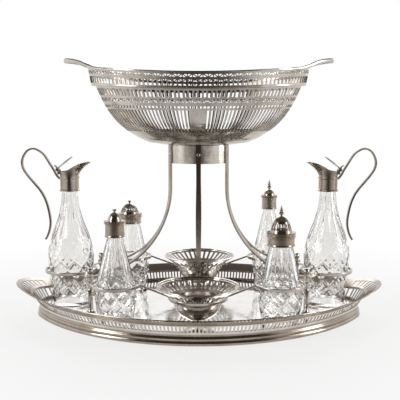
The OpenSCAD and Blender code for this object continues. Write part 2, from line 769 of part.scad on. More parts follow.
// A hollow glass bottle from shares of its height and radius; the neck fills the sleeve above it
module bottle(height, belly, neck, neck_height, shape) {
    outline = smooth_curve([for (p = shape) [p[0] * belly, p[1] * height]], 4);
    body = concat(outline, [[neck, height]]);
    base = glass_wall * 2;
    inside = [for (p = body) if (p[1] > base) [p[0] - glass_wall, p[1]]];
    rotate_extrude() polygon(concat(
        [[0, 0]], body, [[neck, height + neck_height], [neck - glass_wall, height + neck_height]],
        reversed(inside), [[inside[0][0], base], [0, base]]));
}

module jug_glass() {
    color(glass, 0.4) translate([0, 0, bottle_z])
        bottle(jug_glass_height, jug_belly, jug_neck, jug_collar_height - 2 * collar_wall, jug_shape);
}

module jug_collar() {
    bead = 0.8;
    bore = jug_neck + close * 2;
    top = jug_collar_height;
    color(silver) translate([0, 0, jug_collar_z + close]) rotate_extrude() polygon([
        [bore, 0], [collar_radius + bead, 0], [collar_radius + bead, bead * 2], [collar_radius, bead * 3],
        [collar_radius, top - bead * 3], [collar_radius + bead, top - bead * 2],
        [collar_radius + bead, top - close], [jug_neck - glass_wall, top - close],
        [jug_neck - glass_wall, top - collar_wall - close], [bore, top - collar_wall - close]
    ]);
}

hinge_x = -collar_radius - 2.6;
hinge_z = jug_lip_z + mouth_height + 2.6;
knuckle_radius = hinge_pin_radius + 1.1;
knuckle_length = 2.8;

// The mouth: a ring that is drawn out and up into the pouring lip
module mouth_sheet() {
    columns = 36;
    levels = [0, 0.25, 0.5, 0.75, 1];
    wall = 1.2;
    function toward(turn) = max(0, cos(turn));
    function row(level, inset) = [for (k = [0:columns - 1])
        let (turn = k * 360 / columns,
             reach = 0.6 + (lip_reach - collar_radius) * pow(toward(turn), 5),
             rise = mouth_height + (lip_height - mouth_height) * pow((1 + cos(turn)) / 2, 2),
             radius = collar_radius - inset + reach * pow(level, 1.8))
        [radius * cos(turn), radius * sin(turn), jug_lip_z + rise * level]];
    pierced_sheet([for (level = levels) row(level, 0)], [for (level = levels) row(level, wall)],
        [for (level = levels) false], true, false);
}

module jug_lip() {
    ear_z = jug_lip_z + mouth_height * 0.5;
    color(silver) difference() {
        union() {
            mouth_sheet();
            for (end = [-1, 1]) translate([0, end * (knuckle_length + loose), 0]) {
                translate([hinge_x, knuckle_length / 2, hinge_z]) rotate([90, 0, 0])
                    cylinder(r = knuckle_radius, h = knuckle_length);
                translate([hinge_x, -knuckle_length / 2, ear_z])
                    cube([-hinge_x - collar_radius + 0.6, knuckle_length, hinge_z - ear_z]);
            }
        }
        translate([hinge_x, 0, hinge_z]) rotate([90, 0, 0])
            cylinder(r = hinge_pin_radius + close, h = 8 * knuckle_length, center = true);
    }
}

module jug_hinge_pin() {
    color(bright_silver) translate([hinge_x, 0, hinge_z]) rotate([90, 0, 0])
        cylinder(r = hinge_pin_radius, h = 3 * knuckle_length + 2 * loose, center = true);
}

// The lid is drawn closed, then turned open about its hinge
module jug_lid() {
    plate = 1.2;
    gap = 0.6;
    color(silver) translate([hinge_x, 0, hinge_z]) rotate([0, -lid_open, 0]) {
        difference() {
            union() {
                translate([-hinge_x, 0, gap]) rotate_extrude() polygon([
                    [0, 0], [lid_radius, 0], [lid_radius, plate * 0.7], [lid_radius - 1, plate],
                    [lid_radius * 0.6, plate * 1.3], [0, plate * 1.6]]);
                translate([0, -knuckle_length / 2, gap])
                    cube([-hinge_x - lid_radius + 2, knuckle_length, plate]);
                rotate([90, 0, 0]) cylinder(r = knuckle_radius, h = knuckle_length, center = true);
                translate([0, knuckle_length / 2, 0]) rotate([90, 0, 0]) linear_extrude(knuckle_length)
                    polygon([[-1.4, 0], [1.2, 1], [1.4, 4], [0.6, 6.4], [-0.8, 6.8], [0, 4]]);
            }
            rotate([90, 0, 0]) cylinder(r = hinge_pin_radius + close, h = 2 * knuckle_length, center = true);
        }
    }
}

// The handle strip: up from the collar, over a loop and down in a long S to a free curled end
handle_route = [[0, -2.6], [4, 2], [7.5, 8.5], [13, 17.5], [18, 25.5], [23.5, 30.5], [30.5, 33.5],
    [37.5, 31.5], [42.5, 25.5], [45, 17.5], [43.5, 9.5], [38.5, 1.5], [31.5, -7], [24.5, -15.5], [19.5, -24],
    [16, -33.5], [13.5, -45.5], [12.6, -55.5], [14, -64.5], [16.6, -71.5], [19, -75.5]];

module jug_handle() {
    line = smooth_curve(handle_route, 3);
    last = len(line) - 1;
    function side(i) =
        let (run = line[min(i + 1, last)] - line[max(i - 1, 0)]) [-run[1], run[0]] / norm(run);
    half = handle_thickness / 2;
    color(silver) difference() {
        translate([-collar_radius, handle_width / 2, jug_collar_z + jug_collar_height])
            mirror([1, 0, 0]) rotate([90, 0, 0]) linear_extrude(handle_width) polygon(concat(
                [for (i = [0:last]) line[i] + half * side(i)],
                [for (i = [last:-1:0]) line[i] - half * side(i)]));
        translate([0, 0, jug_collar_z - past])
            cylinder(r = collar_radius + 0.8 + close / 2, h = jug_collar_height + mouth_height);
    }
}

// Both jugs turn their lips to the middle and their handles outwards
module at_jug(side) { translate([side * jug_x, 0, 0]) rotate(side > 0 ? 180 : 0) children(); }
module left_jug_glass() { at_jug(-1) jug_glass(); }
module left_jug_collar() { at_jug(-1) jug_collar(); }
module left_jug_lip() { at_jug(-1) jug_lip(); }
module left_jug_lid() { at_jug(-1) jug_lid(); }
module left_jug_hinge_pin() { at_jug(-1) jug_hinge_pin(); }
module left_jug_handle() { at_jug(-1) jug_handle(); }
module right_jug_glass() { at_jug(1) jug_glass(); }
module right_jug_collar() { at_jug(1) jug_collar(); }
module right_jug_lip() { at_jug(1) jug_lip(); }
module right_jug_lid() { at_jug(1) jug_lid(); }
module right_jug_hinge_pin() { at_jug(1) jug_hinge_pin(); }
module right_jug_handle() { at_jug(1) jug_handle(); }

// Casters: corner, glass height, belly, neck, sleeve height, flange height, dome radius, dome height,
// finial height, finial outline, has holes

// Finial outlines, as shares of the height, from the dome up to the tip
spire_shape = [[0.13, 0], [0.09, 0.12], [0.2, 0.22], [0.22, 0.32], [0.12, 0.42], [0.15, 0.52], [0.16, 0.62],
    [0.1, 0.76], [0.05, 0.9], [0, 1]];
knob_shape = [[0.3, 0], [0.24, 0.2], [0.42, 0.42], [0.48, 0.66], [0.36, 0.88], [0, 1]];

front_left_caster = [FRONT_LEFT, slim_glass_height, slim_belly, slim_neck, slim_sleeve, slim_flange,
    slim_dome_radius, slim_dome, knob_height, knob_shape, false];
front_right_caster = [FRONT_RIGHT, wide_glass_height, wide_belly, wide_neck, wide_sleeve, wide_flange,
    wide_dome_radius, wide_dome, spire_height, spire_shape, true];
back_left_caster = [BACK_LEFT, wide_glass_height, wide_belly, wide_neck, low_sleeve, wide_flange,
    wide_dome_radius, low_dome, knob_height, knob_shape, true];
back_right_caster = [BACK_RIGHT, tall_glass_height, tall_belly, tall_neck, slim_sleeve, slim_flange,
    slim_dome_radius, tall_dome, spire_height, spire_shape, false];
caster_foot = [[0.84, 0], [0.9, 0.12], [1, 0.36]];

module at_caster(caster) {
    translate([caster[0][0] * caster_x, caster[0][1] * caster_y, bottle_z]) children();
}

module caster_glass(caster) {
    neck_share = caster[3] / caster[2];
    shape = concat(caster_foot,
        [[0.5 + neck_share * 0.5, 0.68], [0.2 + neck_share * 0.8, 0.86], [neck_share, 0.97]]);
    color(glass, 0.4) at_caster(caster)
        bottle(caster[1], caster[2], caster[3], caster[4] - cap_spigot - 2 * loose, shape);
}

// The sleeve fits over the neck and stands above it, to take the tube under the cap
function sleeve_bore(caster) = caster[3] + close * 2;
function sleeve_outside(caster) = sleeve_bore(caster) + sleeve_wall;

module caster_sleeve(caster) {
    bead = 0.5;
    bore = sleeve_bore(caster);
    wide = sleeve_outside(caster);
    top = caster[4];
    color(silver) at_caster(caster) translate([0, 0, caster[1] + close]) rotate_extrude() polygon([
        [bore, 0], [wide + bead, 0], [wide + bead, bead * 2], [wide, bead * 4], [wide, top - bead * 3],
        [wide + bead, top - bead * 2], [wide + bead, top], [bore, top]
    ]);
}

// A moulded flange with a bell-shaped dome and a finial above it, and a tube below it
module caster_cap(caster) {
    tube = sleeve_bore(caster) - loose / 2;
    outside = sleeve_outside(caster) + flange_reach;
    flange = caster[5];
    foot = caster[6];
    dome = caster[7];
    groove = 0.6;
    bell = smooth_curve([[foot, flange], [foot * 0.93, flange + dome * 0.3],
        [foot * 0.7, flange + dome * 0.65], [foot * 0.42, flange + dome * 0.88],
        [caster[9][0][0] * caster[8], flange + dome]], 3);
    last = len(bell) - 1;
    bell_inside = [for (i = [0:last - 2]) [bell[i][0] - cap_wall, bell[i][1] - cap_wall * i / last]];
    color(bright_silver) at_caster(caster)
        translate([0, 0, caster[1] + caster[4] + close + loose / 2]) difference() {
        rotate_extrude() polygon(concat(
            [[tube - cap_wall, -cap_spigot], [tube, -cap_spigot], [tube, 0], [outside, 0],
             [outside, flange * 0.3], [outside - groove, flange * 0.42], [outside - groove, flange * 0.58],
             [outside, flange * 0.7], [outside, flange - groove / 2], [outside - groove / 2, flange],
             [foot + groove, flange]],
            bell,
            [for (p = caster[9]) if (p[1] > 0) [p[0] * caster[8], flange + dome + p[1] * caster[8]]],
            [[0, bell_inside[last - 2][1]]],
            reversed(bell_inside),
            [[tube - cap_wall, flange - cap_wall]]));
        if (caster[10]) for (row = [0, 1], k = [0:11])
            rotate(k * 30 + row * 15) translate([0, 0, flange + dome * (0.24 + row * 0.24)])
                rotate([0, 76 - row * 12, 0]) translate([0, 0, foot * 0.4])
                cylinder(r = cap_hole, h = foot);
    }
}

module front_left_caster_glass() { caster_glass(front_left_caster); }
module front_left_caster_sleeve() { caster_sleeve(front_left_caster); }
module front_left_caster_cap() { caster_cap(front_left_caster); }
module front_right_caster_glass() { caster_glass(front_right_caster); }
module front_right_caster_sleeve() { caster_sleeve(front_right_caster); }
module front_right_caster_cap() { caster_cap(front_right_caster); }
module back_left_caster_glass() { caster_glass(back_left_caster); }
module back_left_caster_sleeve() { caster_sleeve(back_left_caster); }
module back_left_caster_cap() { caster_cap(back_left_caster); }
module back_right_caster_glass() { caster_glass(back_right_caster); }
module back_right_caster_sleeve() { caster_sleeve(back_right_caster); }
module back_right_caster_cap() { caster_cap(back_right_caster); }

// Dishes

module dish(side) {
    bowl = [for (k = [0:10]) let (a = k * 9) [dish_bowl_radius * sin(a), -dish_bowl_depth * cos(a)]];
    level = dish_wall / cos(dish_slope);
    slot_start = dish_bowl_radius + (dish_radius - dish_bowl_radius) * 0.22;
    slot_length = (dish_radius - dish_bowl_radius) * 0.56;
    slot_width = slot_start * 2 * PI / dish_slots * 0.5;
    color(silver) translate([0, side * dish_y, dish_rim_foot_z]) difference() {
        rotate_extrude() polygon(concat(
            bowl, [[dish_radius, dish_rim_rise], [dish_radius, dish_rim_rise + level]],
            [for (p = reversed(bowl)) [max(p[0] - dish_wall, 0), p[1] + level]]));
        for (k = [0:dish_slots - 1]) rotate((k + 0.5) * 360 / dish_slots)
            translate([slot_start, -slot_width / 2, -past])
                cube([slot_length, slot_width, dish_rim_rise + 2 * past + level]);
    }
}

module dish_front() { dish(-1); }
module dish_back() { dish(1); }

tray_floor();
foot_moulding();
gallery_front();
gallery_back();
end_handle_left();
end_handle_right();
post_front_left();
post_front_right();
post_back_left();
post_back_right();
post_finials();
frame_nuts();
jug_ring_left();
jug_ring_right();
caster_ring_front_left();
caster_ring_front_right();
caster_ring_back_left();
caster_ring_back_right();
dish_ring_front();
dish_ring_back();
leg_front_left();
leg_front_right();
leg_back_left();
leg_back_right();
strut_front();
strut_back();
collar_band();
band_rivets();
basket_base();
basket_bowl();
basket_collar();
basket_spigot();
basket_handle_left();
basket_handle_right();
left_jug_glass();
left_jug_collar();
left_jug_lip();
left_jug_lid();
left_jug_hinge_pin();
left_jug_handle();
right_jug_glass();
right_jug_collar();
right_jug_lip();
right_jug_lid();
right_jug_hinge_pin();
right_jug_handle();
front_left_caster_glass();
front_left_caster_sleeve();
front_left_caster_cap();
front_right_caster_glass();
front_right_caster_sleeve();
front_right_caster_cap();
back_left_caster_glass();
back_left_caster_sleeve();
back_left_caster_cap();
back_right_caster_glass();
back_right_caster_sleeve();
back_right_caster_cap();
dish_front();
dish_back();
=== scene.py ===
import math
from collections import namedtuple

import bmesh
import bpy
from mathutils import Matrix, Vector


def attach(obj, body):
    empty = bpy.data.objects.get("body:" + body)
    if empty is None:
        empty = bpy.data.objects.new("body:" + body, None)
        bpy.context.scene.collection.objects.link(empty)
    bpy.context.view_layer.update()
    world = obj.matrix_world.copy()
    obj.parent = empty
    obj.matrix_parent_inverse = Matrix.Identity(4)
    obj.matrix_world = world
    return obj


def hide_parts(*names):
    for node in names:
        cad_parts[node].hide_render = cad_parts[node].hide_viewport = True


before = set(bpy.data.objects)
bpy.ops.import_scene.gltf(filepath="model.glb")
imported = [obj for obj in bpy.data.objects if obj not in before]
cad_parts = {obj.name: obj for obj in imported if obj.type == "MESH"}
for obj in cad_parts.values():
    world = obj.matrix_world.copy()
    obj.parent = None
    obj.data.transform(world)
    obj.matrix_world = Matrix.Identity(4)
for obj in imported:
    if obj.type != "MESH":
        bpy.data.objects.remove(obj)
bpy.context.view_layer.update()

# Pieces are modelled in millimetres and brought to metres as they are finished
MM = 0.001
FULL_TURN = 2 * math.pi
HALF_TURN = math.pi
QUARTER_TURN = math.pi / 2
ORIGIN = (0, 0, 0)
UP = (0, 0, 1)
# Points this close are one point. Arcs that meet end to end need a longer reach
SAME_POINT = 0.001
ARC_JOIN = 0.05

# Sizes shared with the solids
FLOOR_Z = 12.0
BOTTLE_Z = 12.3
BASKET_Z = 204.3
BOWL_DEPTH = 64.0
COLLAR_HEIGHT = 18.0
# How much higher the basket's ends are than its sides, and its width as a share of its length
BASKET_SHEER = 8.0
BASKET_SHARE = 164.0 / 259.0
RIDGE_HALF = 120.5
RIDGE_STEP = 4.6
COLLAR_FLARE = 4.4
TRAY_HALF_LENGTH = 195.0
TRAY_HALF_WIDTH = 130.0
TRAY_END_RADIUS = 42.0
# How far in from the tray's edge the gallery stands
GALLERY_SEAT = 2.4
JUG_X = 154.0


# Shader writing

class Field:
    """A shader socket that can be used in Python sums. Each sum adds a Math node."""

    def __init__(self, tree, socket):
        self.tree = tree
        self.socket = socket

    def math(self, operation, first, second):
        """Adds a Math node on two values, each a field or a number."""
        node = self.tree.nodes.new("ShaderNodeMath")
        node.operation = operation
        for place, value in enumerate((first, second)):
            if isinstance(value, Field):
                self.tree.links.new(value.socket, node.inputs[place])
            else:
                node.inputs[place].default_value = value
        return Field(self.tree, node.outputs[0])

    def __add__(self, other):
        return self.math("ADD", self, other)

    def __radd__(self, other):
        return self.math("ADD", other, self)

    def __mul__(self, other):
        return self.math("MULTIPLY", self, other)

    def __rmul__(self, other):
        return self.math("MULTIPLY", other, self)

    def __abs__(self):
        return self.math("ABSOLUTE", self, 0.0)

    def most(self, other):
        """The greater of two values."""
        return self.math("MAXIMUM", self, other)


class Finish:
    """The node tree of a material or of the world, with one way to add any node."""

    def __init__(self, owner):
        owner.use_nodes = True
        self.tree = owner.node_tree
        self.tree.nodes.clear()

    def node(self, kind, settings=None, output=0, **sockets):
        """Adds a node. A socket is given by its name, with _ for spaces, or by _ and its number."""
        node = self.tree.nodes.new("ShaderNode" + kind)
        for name, value in (settings or {}).items():
            if name == "stops":
                set_stops(node.color_ramp, value)
            else:
                setattr(node, name, value)
        for name, value in sockets.items():
            place = node.inputs[int(name[1:])] if name[0] == "_" else node.inputs[name.replace("_", " ")]
            if isinstance(value, Field):
                self.tree.links.new(value.socket, place)
            else:
                place.default_value = value
        return Field(self.tree, node.outputs[output] if node.outputs else None)

    def ramp(self, share, *stops):
        """A colour ramp, read at a share from 0 to 1."""
        return self.node("ValToRGB", {"stops": stops}, Fac=share)

    def mix(self, share, first, second):
        """A mix of two colours. The Mix node's colour sockets share their names, so they go by number."""
        return self.node("Mix", {"data_type": "RGBA"}, 2, _0=share, _6=first, _7=second)

    def show(self, shader, kind="OutputMaterial"):
        """Ends the tree with its output."""
        self.node(kind, Surface=shader)


def set_stops(ramp, stops):
    """Sets a ramp's stops, each a place with a grey value or a colour."""
    while len(ramp.elements) < len(stops):
        ramp.elements.new(1.0)
    for element, (place, colour) in zip(ramp.elements, stops):
        element.position = place
        element.color = opaque(colour) if isinstance(colour, tuple) else grey(colour)


def grey(value):
    """An opaque grey."""
    return (value, value, value, 1.0)


def opaque(colour):
    """A colour of three parts, with its alpha."""
    return (*colour, 1.0)


# Finishes

FLECK_SHARE = 0.55
FLECK_SHADE = (0.6, 0.55, 0.5)
FLECK_ROUGHNESS = 0.1
RUBBING_ROUGHNESS = 0.05
SPECK_HEIGHT = 0.5
DUST_SHARE = 0.1
DUST_COLOUR = (0.9, 0.9, 0.89)
CLEAR_ROUGHNESS = 0.012
DUST_ROUGHNESS = 0.04


def silver_finish(name, bright, dull, tarnish, smooth, rough):
    """Old polished silver: warm grey, clouded with tarnish, with fine rubbing marks and shallow dents."""
    material = bpy.data.materials.new(name)
    make = Finish(material)
    place = make.node("TexCoord", output="Object")
    cloud = make.node("TexNoise", Vector=place, Scale=34.0, Detail=4.0, Roughness=0.6)
    stain = make.ramp(cloud, (0.42, 0.0), (0.72, 1.0))
    speck = make.node("TexNoise", Vector=place, Scale=420.0, Detail=3.0, Roughness=0.65)
    fleck = make.ramp(speck, (0.5, 0.0), (0.78, 1.0))
    stretched = make.node("Mapping", Vector=place, Scale=(60.0, 60.0, 900.0))
    rubbing = make.node("TexNoise", Vector=stretched, Scale=1.0, Detail=2.0)
    dents = make.node("TexNoise", Vector=place, Scale=75.0, Detail=1.0)
    spot = [part * shade for part, shade in zip(dull, FLECK_SHADE)]
    colour = make.mix(stain * tarnish, opaque(bright), opaque(dull))
    colour = make.mix(fleck * (tarnish * FLECK_SHARE), colour, opaque(spot))
    roughness = smooth + stain * (rough - smooth) + fleck * FLECK_ROUGHNESS + rubbing * RUBBING_ROUGHNESS
    fine = make.node("Bump", Strength=0.035, Distance=0.0004, Height=rubbing + speck * SPECK_HEIGHT)
    normal = make.node("Bump", Strength=0.1, Distance=0.0012, Height=dents, Normal=fine)
    make.show(make.node("BsdfPrincipled", Base_Color=colour, Metallic=1.0, Roughness=roughness,
                        Normal=normal))
    return material


def glass_finish(name):
    """Clear flint glass with a few drawn streaks and a little dust."""
    material = bpy.data.materials.new(name)
    make = Finish(material)
    place = make.node("TexCoord", output="Object")
    drawn = make.node("Mapping", Vector=place, Scale=(120.0, 120.0, 14.0))
    streak = make.node("TexNoise", Vector=drawn, Scale=1.0, Detail=2.0)
    dust = make.node("TexNoise", Vector=place, Scale=260.0, Detail=3.0)
    haze = make.ramp(dust, (0.55, 0.0), (0.8, 1.0))
    normal = make.node("Bump", Strength=0.05, Distance=0.0006, Height=streak)
    colour = make.mix(haze * DUST_SHARE, grey(1.0), opaque(DUST_COLOUR))
    roughness = CLEAR_ROUGHNESS + haze * DUST_ROUGHNESS
    make.show(make.node("BsdfPrincipled", Base_Color=colour, Roughness=roughness, IOR=1.52,
                        Transmission_Weight=1.0, Normal=normal))
    return material


# Each silver has a bright and a dull colour, its share of tarnish, and its least and most roughness
SILVER = silver_finish("aged_silver", (0.66, 0.63, 0.59), (0.36, 0.31, 0.26), 0.65, 0.1, 0.24)
MIRROR_SILVER = silver_finish("tray_silver", (0.9, 0.885, 0.87), (0.72, 0.68, 0.64), 0.4, 0.04, 0.1)
# A darker silver for the jug mounts, caps, legs and struts. On the foot moulding it is painted shade, for
# the dark reflection of the shaded ground under the gallery
DARK_SILVER = silver_finish("darker_silver_and_painted_shade", (0.48, 0.42, 0.365), (0.24, 0.19, 0.155), 0.6, 0.09, 0.2)
# Painted shade: this darker copy of the silver goes on the insides and cut edges of the pierced sheets,
# where shade falls
SHADED_INNER_SILVER = silver_finish("inner_silver_painted_shade", (0.36, 0.32, 0.28), (0.2, 0.17, 0.14), 0.6, 0.16, 0.32)
# Painted sheen: a lighter copy of the silver that stands in for the bright reflections along the gallery
SHEEN_PAINTED_SILVER = silver_finish("painted_sheen_silver", (0.82, 0.785, 0.73), (0.5, 0.44, 0.37), 0.6, 0.08, 0.2)
GLASS = glass_finish("cut_glass")


# Mesh making

BEAD_SIDES = 8
# Marks a face as a hole while a sheet is pierced
HOLE = 1


def spin_line(bm, points, steps, angle=FULL_TURN, start=0.0, centre=ORIGIN):
    """Spins a line of (radius, height) points about an upright axis and returns the new faces."""
    before = set(bm.faces)
    turn = Matrix.Rotation(start, 3, "Z")
    places = [Vector(centre) + turn @ Vector((radius, 0.0, height)) for radius, height in points]
    dots = [bm.verts.new(place) for place in places]
    line = [bm.edges.new(pair) for pair in zip(dots, dots[1:])]
    bmesh.ops.spin(bm, geom=dots + line, cent=centre, axis=UP, angle=angle, steps=steps,
                   use_merge=angle == FULL_TURN)
    return [face for face in bm.faces if face not in before]


def edges_between(edges, verts):
    """The edges whose two ends are among the given points."""
    return [edge for edge in edges if edge.verts[0] in verts and edge.verts[1] in verts]


def spin_bead(bm, radius, height, wire_radius, steps):
    """A ring of wire round an upright axis."""
    made = bmesh.ops.create_circle(bm, cap_ends=False, segments=BEAD_SIDES, radius=wire_radius)["verts"]
    bmesh.ops.rotate(bm, verts=made, cent=ORIGIN, matrix=Matrix.Rotation(QUARTER_TURN, 3, "X"))
    bmesh.ops.translate(bm, verts=made, vec=(radius, 0, height))
    rim = edges_between(bm.edges, made)
    bmesh.ops.spin(bm, geom=made + rim, cent=ORIGIN, axis=UP, angle=FULL_TURN, steps=steps,
                   use_merge=True)


def value_along(values, share):
    """Reads values that are given at even steps, at a share of the way along them."""
    step = share * (len(values) - 1)
    place = min(int(step), len(values) - 2)
    return values[place] + (values[place + 1] - values[place]) * (step - place)


def sweep(bm, route, across, tall, sides):
    """Draws an oval section along a route and closes its ends. Its half sizes are given at even steps."""
    ring = bmesh.ops.create_circle(bm, cap_ends=False, segments=sides, radius=1.0)["verts"]
    edges = edges_between(bm.edges, ring)
    ends = list(edges)
    route = [Vector(point) for point in route]
    last = len(route) - 1
    stood = Matrix.Identity(4)
    for place, point in enumerate(route):
        if place:
            made = bmesh.ops.extrude_edge_only(bm, edges=edges)["geom"]
            ring = [part for part in made if isinstance(part, bmesh.types.BMVert)]
            edges = edges_between([part for part in made if isinstance(part, bmesh.types.BMEdge)], ring)
        ahead = (route[min(place + 1, last)] - route[max(place - 1, 0)]).normalized()
        side = ahead.cross(Vector(UP)).normalized()
        wide = side * value_along(across, place / last)
        high = side.cross(ahead) * value_along(tall, place / last)
        stands = Matrix((wide, high, ahead)).transposed().to_4x4()
        stands.translation = point
        bmesh.ops.transform(bm, matrix=stands @ stood.inverted(), verts=ring)
        stood = stands
    bmesh.ops.holes_fill(bm, edges=ends + edges, sides=0)
    bmesh.ops.recalc_face_normals(bm, faces=bm.faces)


def pierce(bm, faces, border, rounding):
    """Cuts a hole in each face, a border in from its edges, with rounded corners."""
    bmesh.ops.inset_individual(bm, faces=faces, thickness=border, use_even_offset=True)
    for face in faces:
        face.material_index = HOLE
    corners = list({vert for face in faces for vert in face.verts})
    made = bmesh.ops.bevel(bm, geom=corners, offset=rounding, affect="VERTICES", segments=2, profile=0.5,
                           material=-1)
    kept = set(made["faces"])
    holes = [face for face in bm.faces if face.material_index == HOLE and face not in kept]
    bmesh.ops.delete(bm, geom=holes, context="FACES")
    for face in bm.faces:
        face.material_index = 0


def thicken(bm, wall, hollow):
    """Gives a sheet its wall, on the side of a point in its hollow. New faces take the second material."""
    bmesh.ops.recalc_face_normals(bm, faces=bm.faces)
    outward = 0.0
    for face in bm.faces:
        outward += face.normal.dot(face.calc_center_median() - Vector(hollow)) * face.calc_area()
    if outward < 0:
        bmesh.ops.reverse_faces(bm, faces=bm.faces)
    outer = set(bm.faces)
    bmesh.ops.solidify(bm, geom=bm.faces, thickness=wall)
    for face in bm.faces:
        face.material_index = int(face not in outer)
    if bm.calc_volume(signed=True) < 0:
        bmesh.ops.reverse_faces(bm, faces=bm.faces)


def clean(bm):
    """Merges doubled points, drops faces of no size and points the rest outwards."""
    bmesh.ops.remove_doubles(bm, verts=bm.verts, dist=SAME_POINT)
    bmesh.ops.dissolve_degenerate(bm, dist=SAME_POINT / 2, edges=bm.edges)
    bmesh.ops.recalc_face_normals(bm, faces=bm.faces)


def finish_piece(bm, name, material, body, nodes, sharp=35.0, inside=None):
    """Brings a mesh to metres and sets it on its body in place of its CAD nodes.

    Edges that turn by more than the sharp angle, in degrees, stay sharp.
    """
    bmesh.ops.scale(bm, vec=(MM, MM, MM), verts=bm.verts)
    mesh = bpy.data.meshes.new(name)
    bm.to_mesh(mesh)
    bm.free()
    mesh.shade_smooth()
    mesh.set_sharp_from_angle(angle=math.radians(sharp))
    mesh.materials.append(material)
    # The second slot takes the painted shade of a sheet's inside, where one is given
    mesh.materials.append(inside or material)
    piece = bpy.data.objects.new(name, mesh)
    bpy.context.scene.collection.objects.link(piece)
    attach(piece, body)
    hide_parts(*nodes)


def smooth_line(points, steps):
    """A smooth line through a few points, with a number of steps between each two, as in the solids."""
    line = []
    last = len(points) - 1
    for i in range(last):
        a, b, c, d = (Vector(points[k]) for k in (max(i - 1, 0), i, i + 1, min(i + 2, last)))
        for k in range(steps):
            t = k / steps
            line.append(0.5 * (2 * b + (c - a) * t + (2 * a - 5 * b + 4 * c - d) * t * t
                               + (3 * b - a - 3 * c + d) * t * t * t))
    line.append(Vector(points[last]))
    return line


def value_on_line(line, height):
    """The radius of a (radius, height) line at a height."""
    least_step = 1e-6
    for low, high in zip(line, line[1:]):
        if low[1] <= height <= high[1]:
            share = (height - low[1]) / max(high[1] - low[1], least_step)
            return low[0] + (high[0] - low[0]) * share
    return line[-1][0] if height > line[-1][1] else line[0][0]


def rows_by_height(faces, heights):
    """Sorts the faces of a spun sheet into rows between the given heights."""
    rows = [[] for height in heights[1:]]
    for face in faces:
        middle = face.calc_center_median().z
        for place, (low, high) in enumerate(zip(heights, heights[1:])):
            if low < middle < high:
                rows[place].append(face)
    return rows


def every_other(faces, columns, first):
    """The faces of a row whose column, counted round the axis, is odd or even."""
    picked = []
    for face in faces:
        middle = face.calc_center_median()
        column = int((math.atan2(middle.y, middle.x) % FULL_TURN) / FULL_TURN * columns)
        if column % 2 == first:
            picked.append(face)
    return picked


def zigzag(bm, faces, columns):
    """Splits a row of faces into triangles that lean to and fro."""
    split = []
    for first, method in ((0, "FIXED"), (1, "ALTERNATE")):
        picked = every_other(faces, columns, first)
        split += bmesh.ops.triangulate(bm, faces=picked, quad_method=method)["faces"]
    return split


# Basket

BASKET_COLUMNS = 120
BASKET_SHEET = 0.8
# The bowl's outline, as half its length at shares of its height
BOWL_LINE = smooth_line([(35.0, 0.0), (RIDGE_HALF * 0.49, 0.055), (RIDGE_HALF * 0.68, 0.24),
                         (RIDGE_HALF * 0.81, 0.44), (RIDGE_HALF * 0.915, 0.7), (RIDGE_HALF, 1.0)], steps=12)
# Shares of the bowl's height between its rows, and which of the rows are pierced
BOWL_SHARES = [0.0, 0.055, 0.14, 0.24, 0.25, 0.645, 0.65, 0.715, 0.725, 0.755, 0.825, 0.835, 0.985, 1.0]
LONG_SLOTS, DOTS, ZIGZAGS, TALL_SLOTS = 4, 6, 9, 11
# Cuts that let the bars between the long slots follow the bowl's curve
LONG_SLOT_CUTS = 4
# Radius of the hole at the middle of the spun bottom, which one face closes
BOWL_HUB = 6.0
HUB_REACH = 0.1
# Half the length of the plain panel on each long side, while the bowl is still round
PANEL_HALF = 8.0
# The collar's ledge lies just above the ridge and laps over it
COLLAR_GAP = 0.1
COLLAR_LAP = 0.6
# Shares of the collar's height between its rows, and which of the rows are pierced
COLLAR_SHARES = [0.06, 0.12, 0.56, 0.64, 0.86, 1.0]
COLLAR_SLOTS, COLLAR_ZIGZAGS = 1, 3
# How far each bead stands out and up from its edge, and the radius of its wire
RIM_BEAD = (-0.9, -0.6, 1.1)
RIDGE_BEAD = (-0.4, 0.2, 1.2)
BASKET_BEAD_STEPS = 160
# Half of a handle's loop, from the rim to the tip, and the strip's half sizes at even steps round it
LOOP_HALF = [(84.0, 61.4, 288.2), (95.0, 54.8, 289.4), (106.0, 47.0, 290.6), (116.0, 40.0, 291.9),
             (126.0, 31.5, 294.8), (134.0, 25.0, 298.2), (142.0, 18.5, 300.6), (149.5, 12.0, 301.8),
             (154.8, 6.0, 302.1), (156.2, 0.0, 302.0)]
LOOP_ACROSS = (0.5, 1.5, 1.5, 1.5, 0.5)
LOOP_TALL = (0.5, 2.4, 2.8, 2.4, 0.5)
LOOP_SIDES = 14


def even_turns(share, count=720):
    """Turns at even steps along the edge of an ellipse whose width is a share of its length."""
    lengths = [0.0]
    for k in range(count):
        turn = (k + 0.5) / count * FULL_TURN
        lengths.append(lengths[-1] + math.hypot(math.sin(turn), share * math.cos(turn)))
    total = lengths[-1]
    turns = []
    k = 0
    for step in range(count):
        wanted = total * step / count
        while lengths[k + 1] < wanted:
            k += 1
        turns.append((k + (wanted - lengths[k]) / (lengths[k + 1] - lengths[k])) / count * FULL_TURN)
    return turns + [FULL_TURN]


BOAT_TURNS = even_turns(BASKET_SHARE)


def boat(vert):
    """Moves a point of a round basket to the boat-shaped one."""
    radius = math.hypot(vert.co.x, vert.co.y)
    turn = math.atan2(vert.co.y, vert.co.x) % FULL_TURN
    turn = value_along(BOAT_TURNS, turn / FULL_TURN)
    rise = (vert.co.z - BASKET_Z) / (BOWL_DEPTH + COLLAR_HEIGHT)
    vert.co = (radius * math.cos(turn), radius * BASKET_SHARE * math.sin(turn),
               vert.co.z + BASKET_SHEER * math.cos(turn) ** 2 * rise * abs(rise))


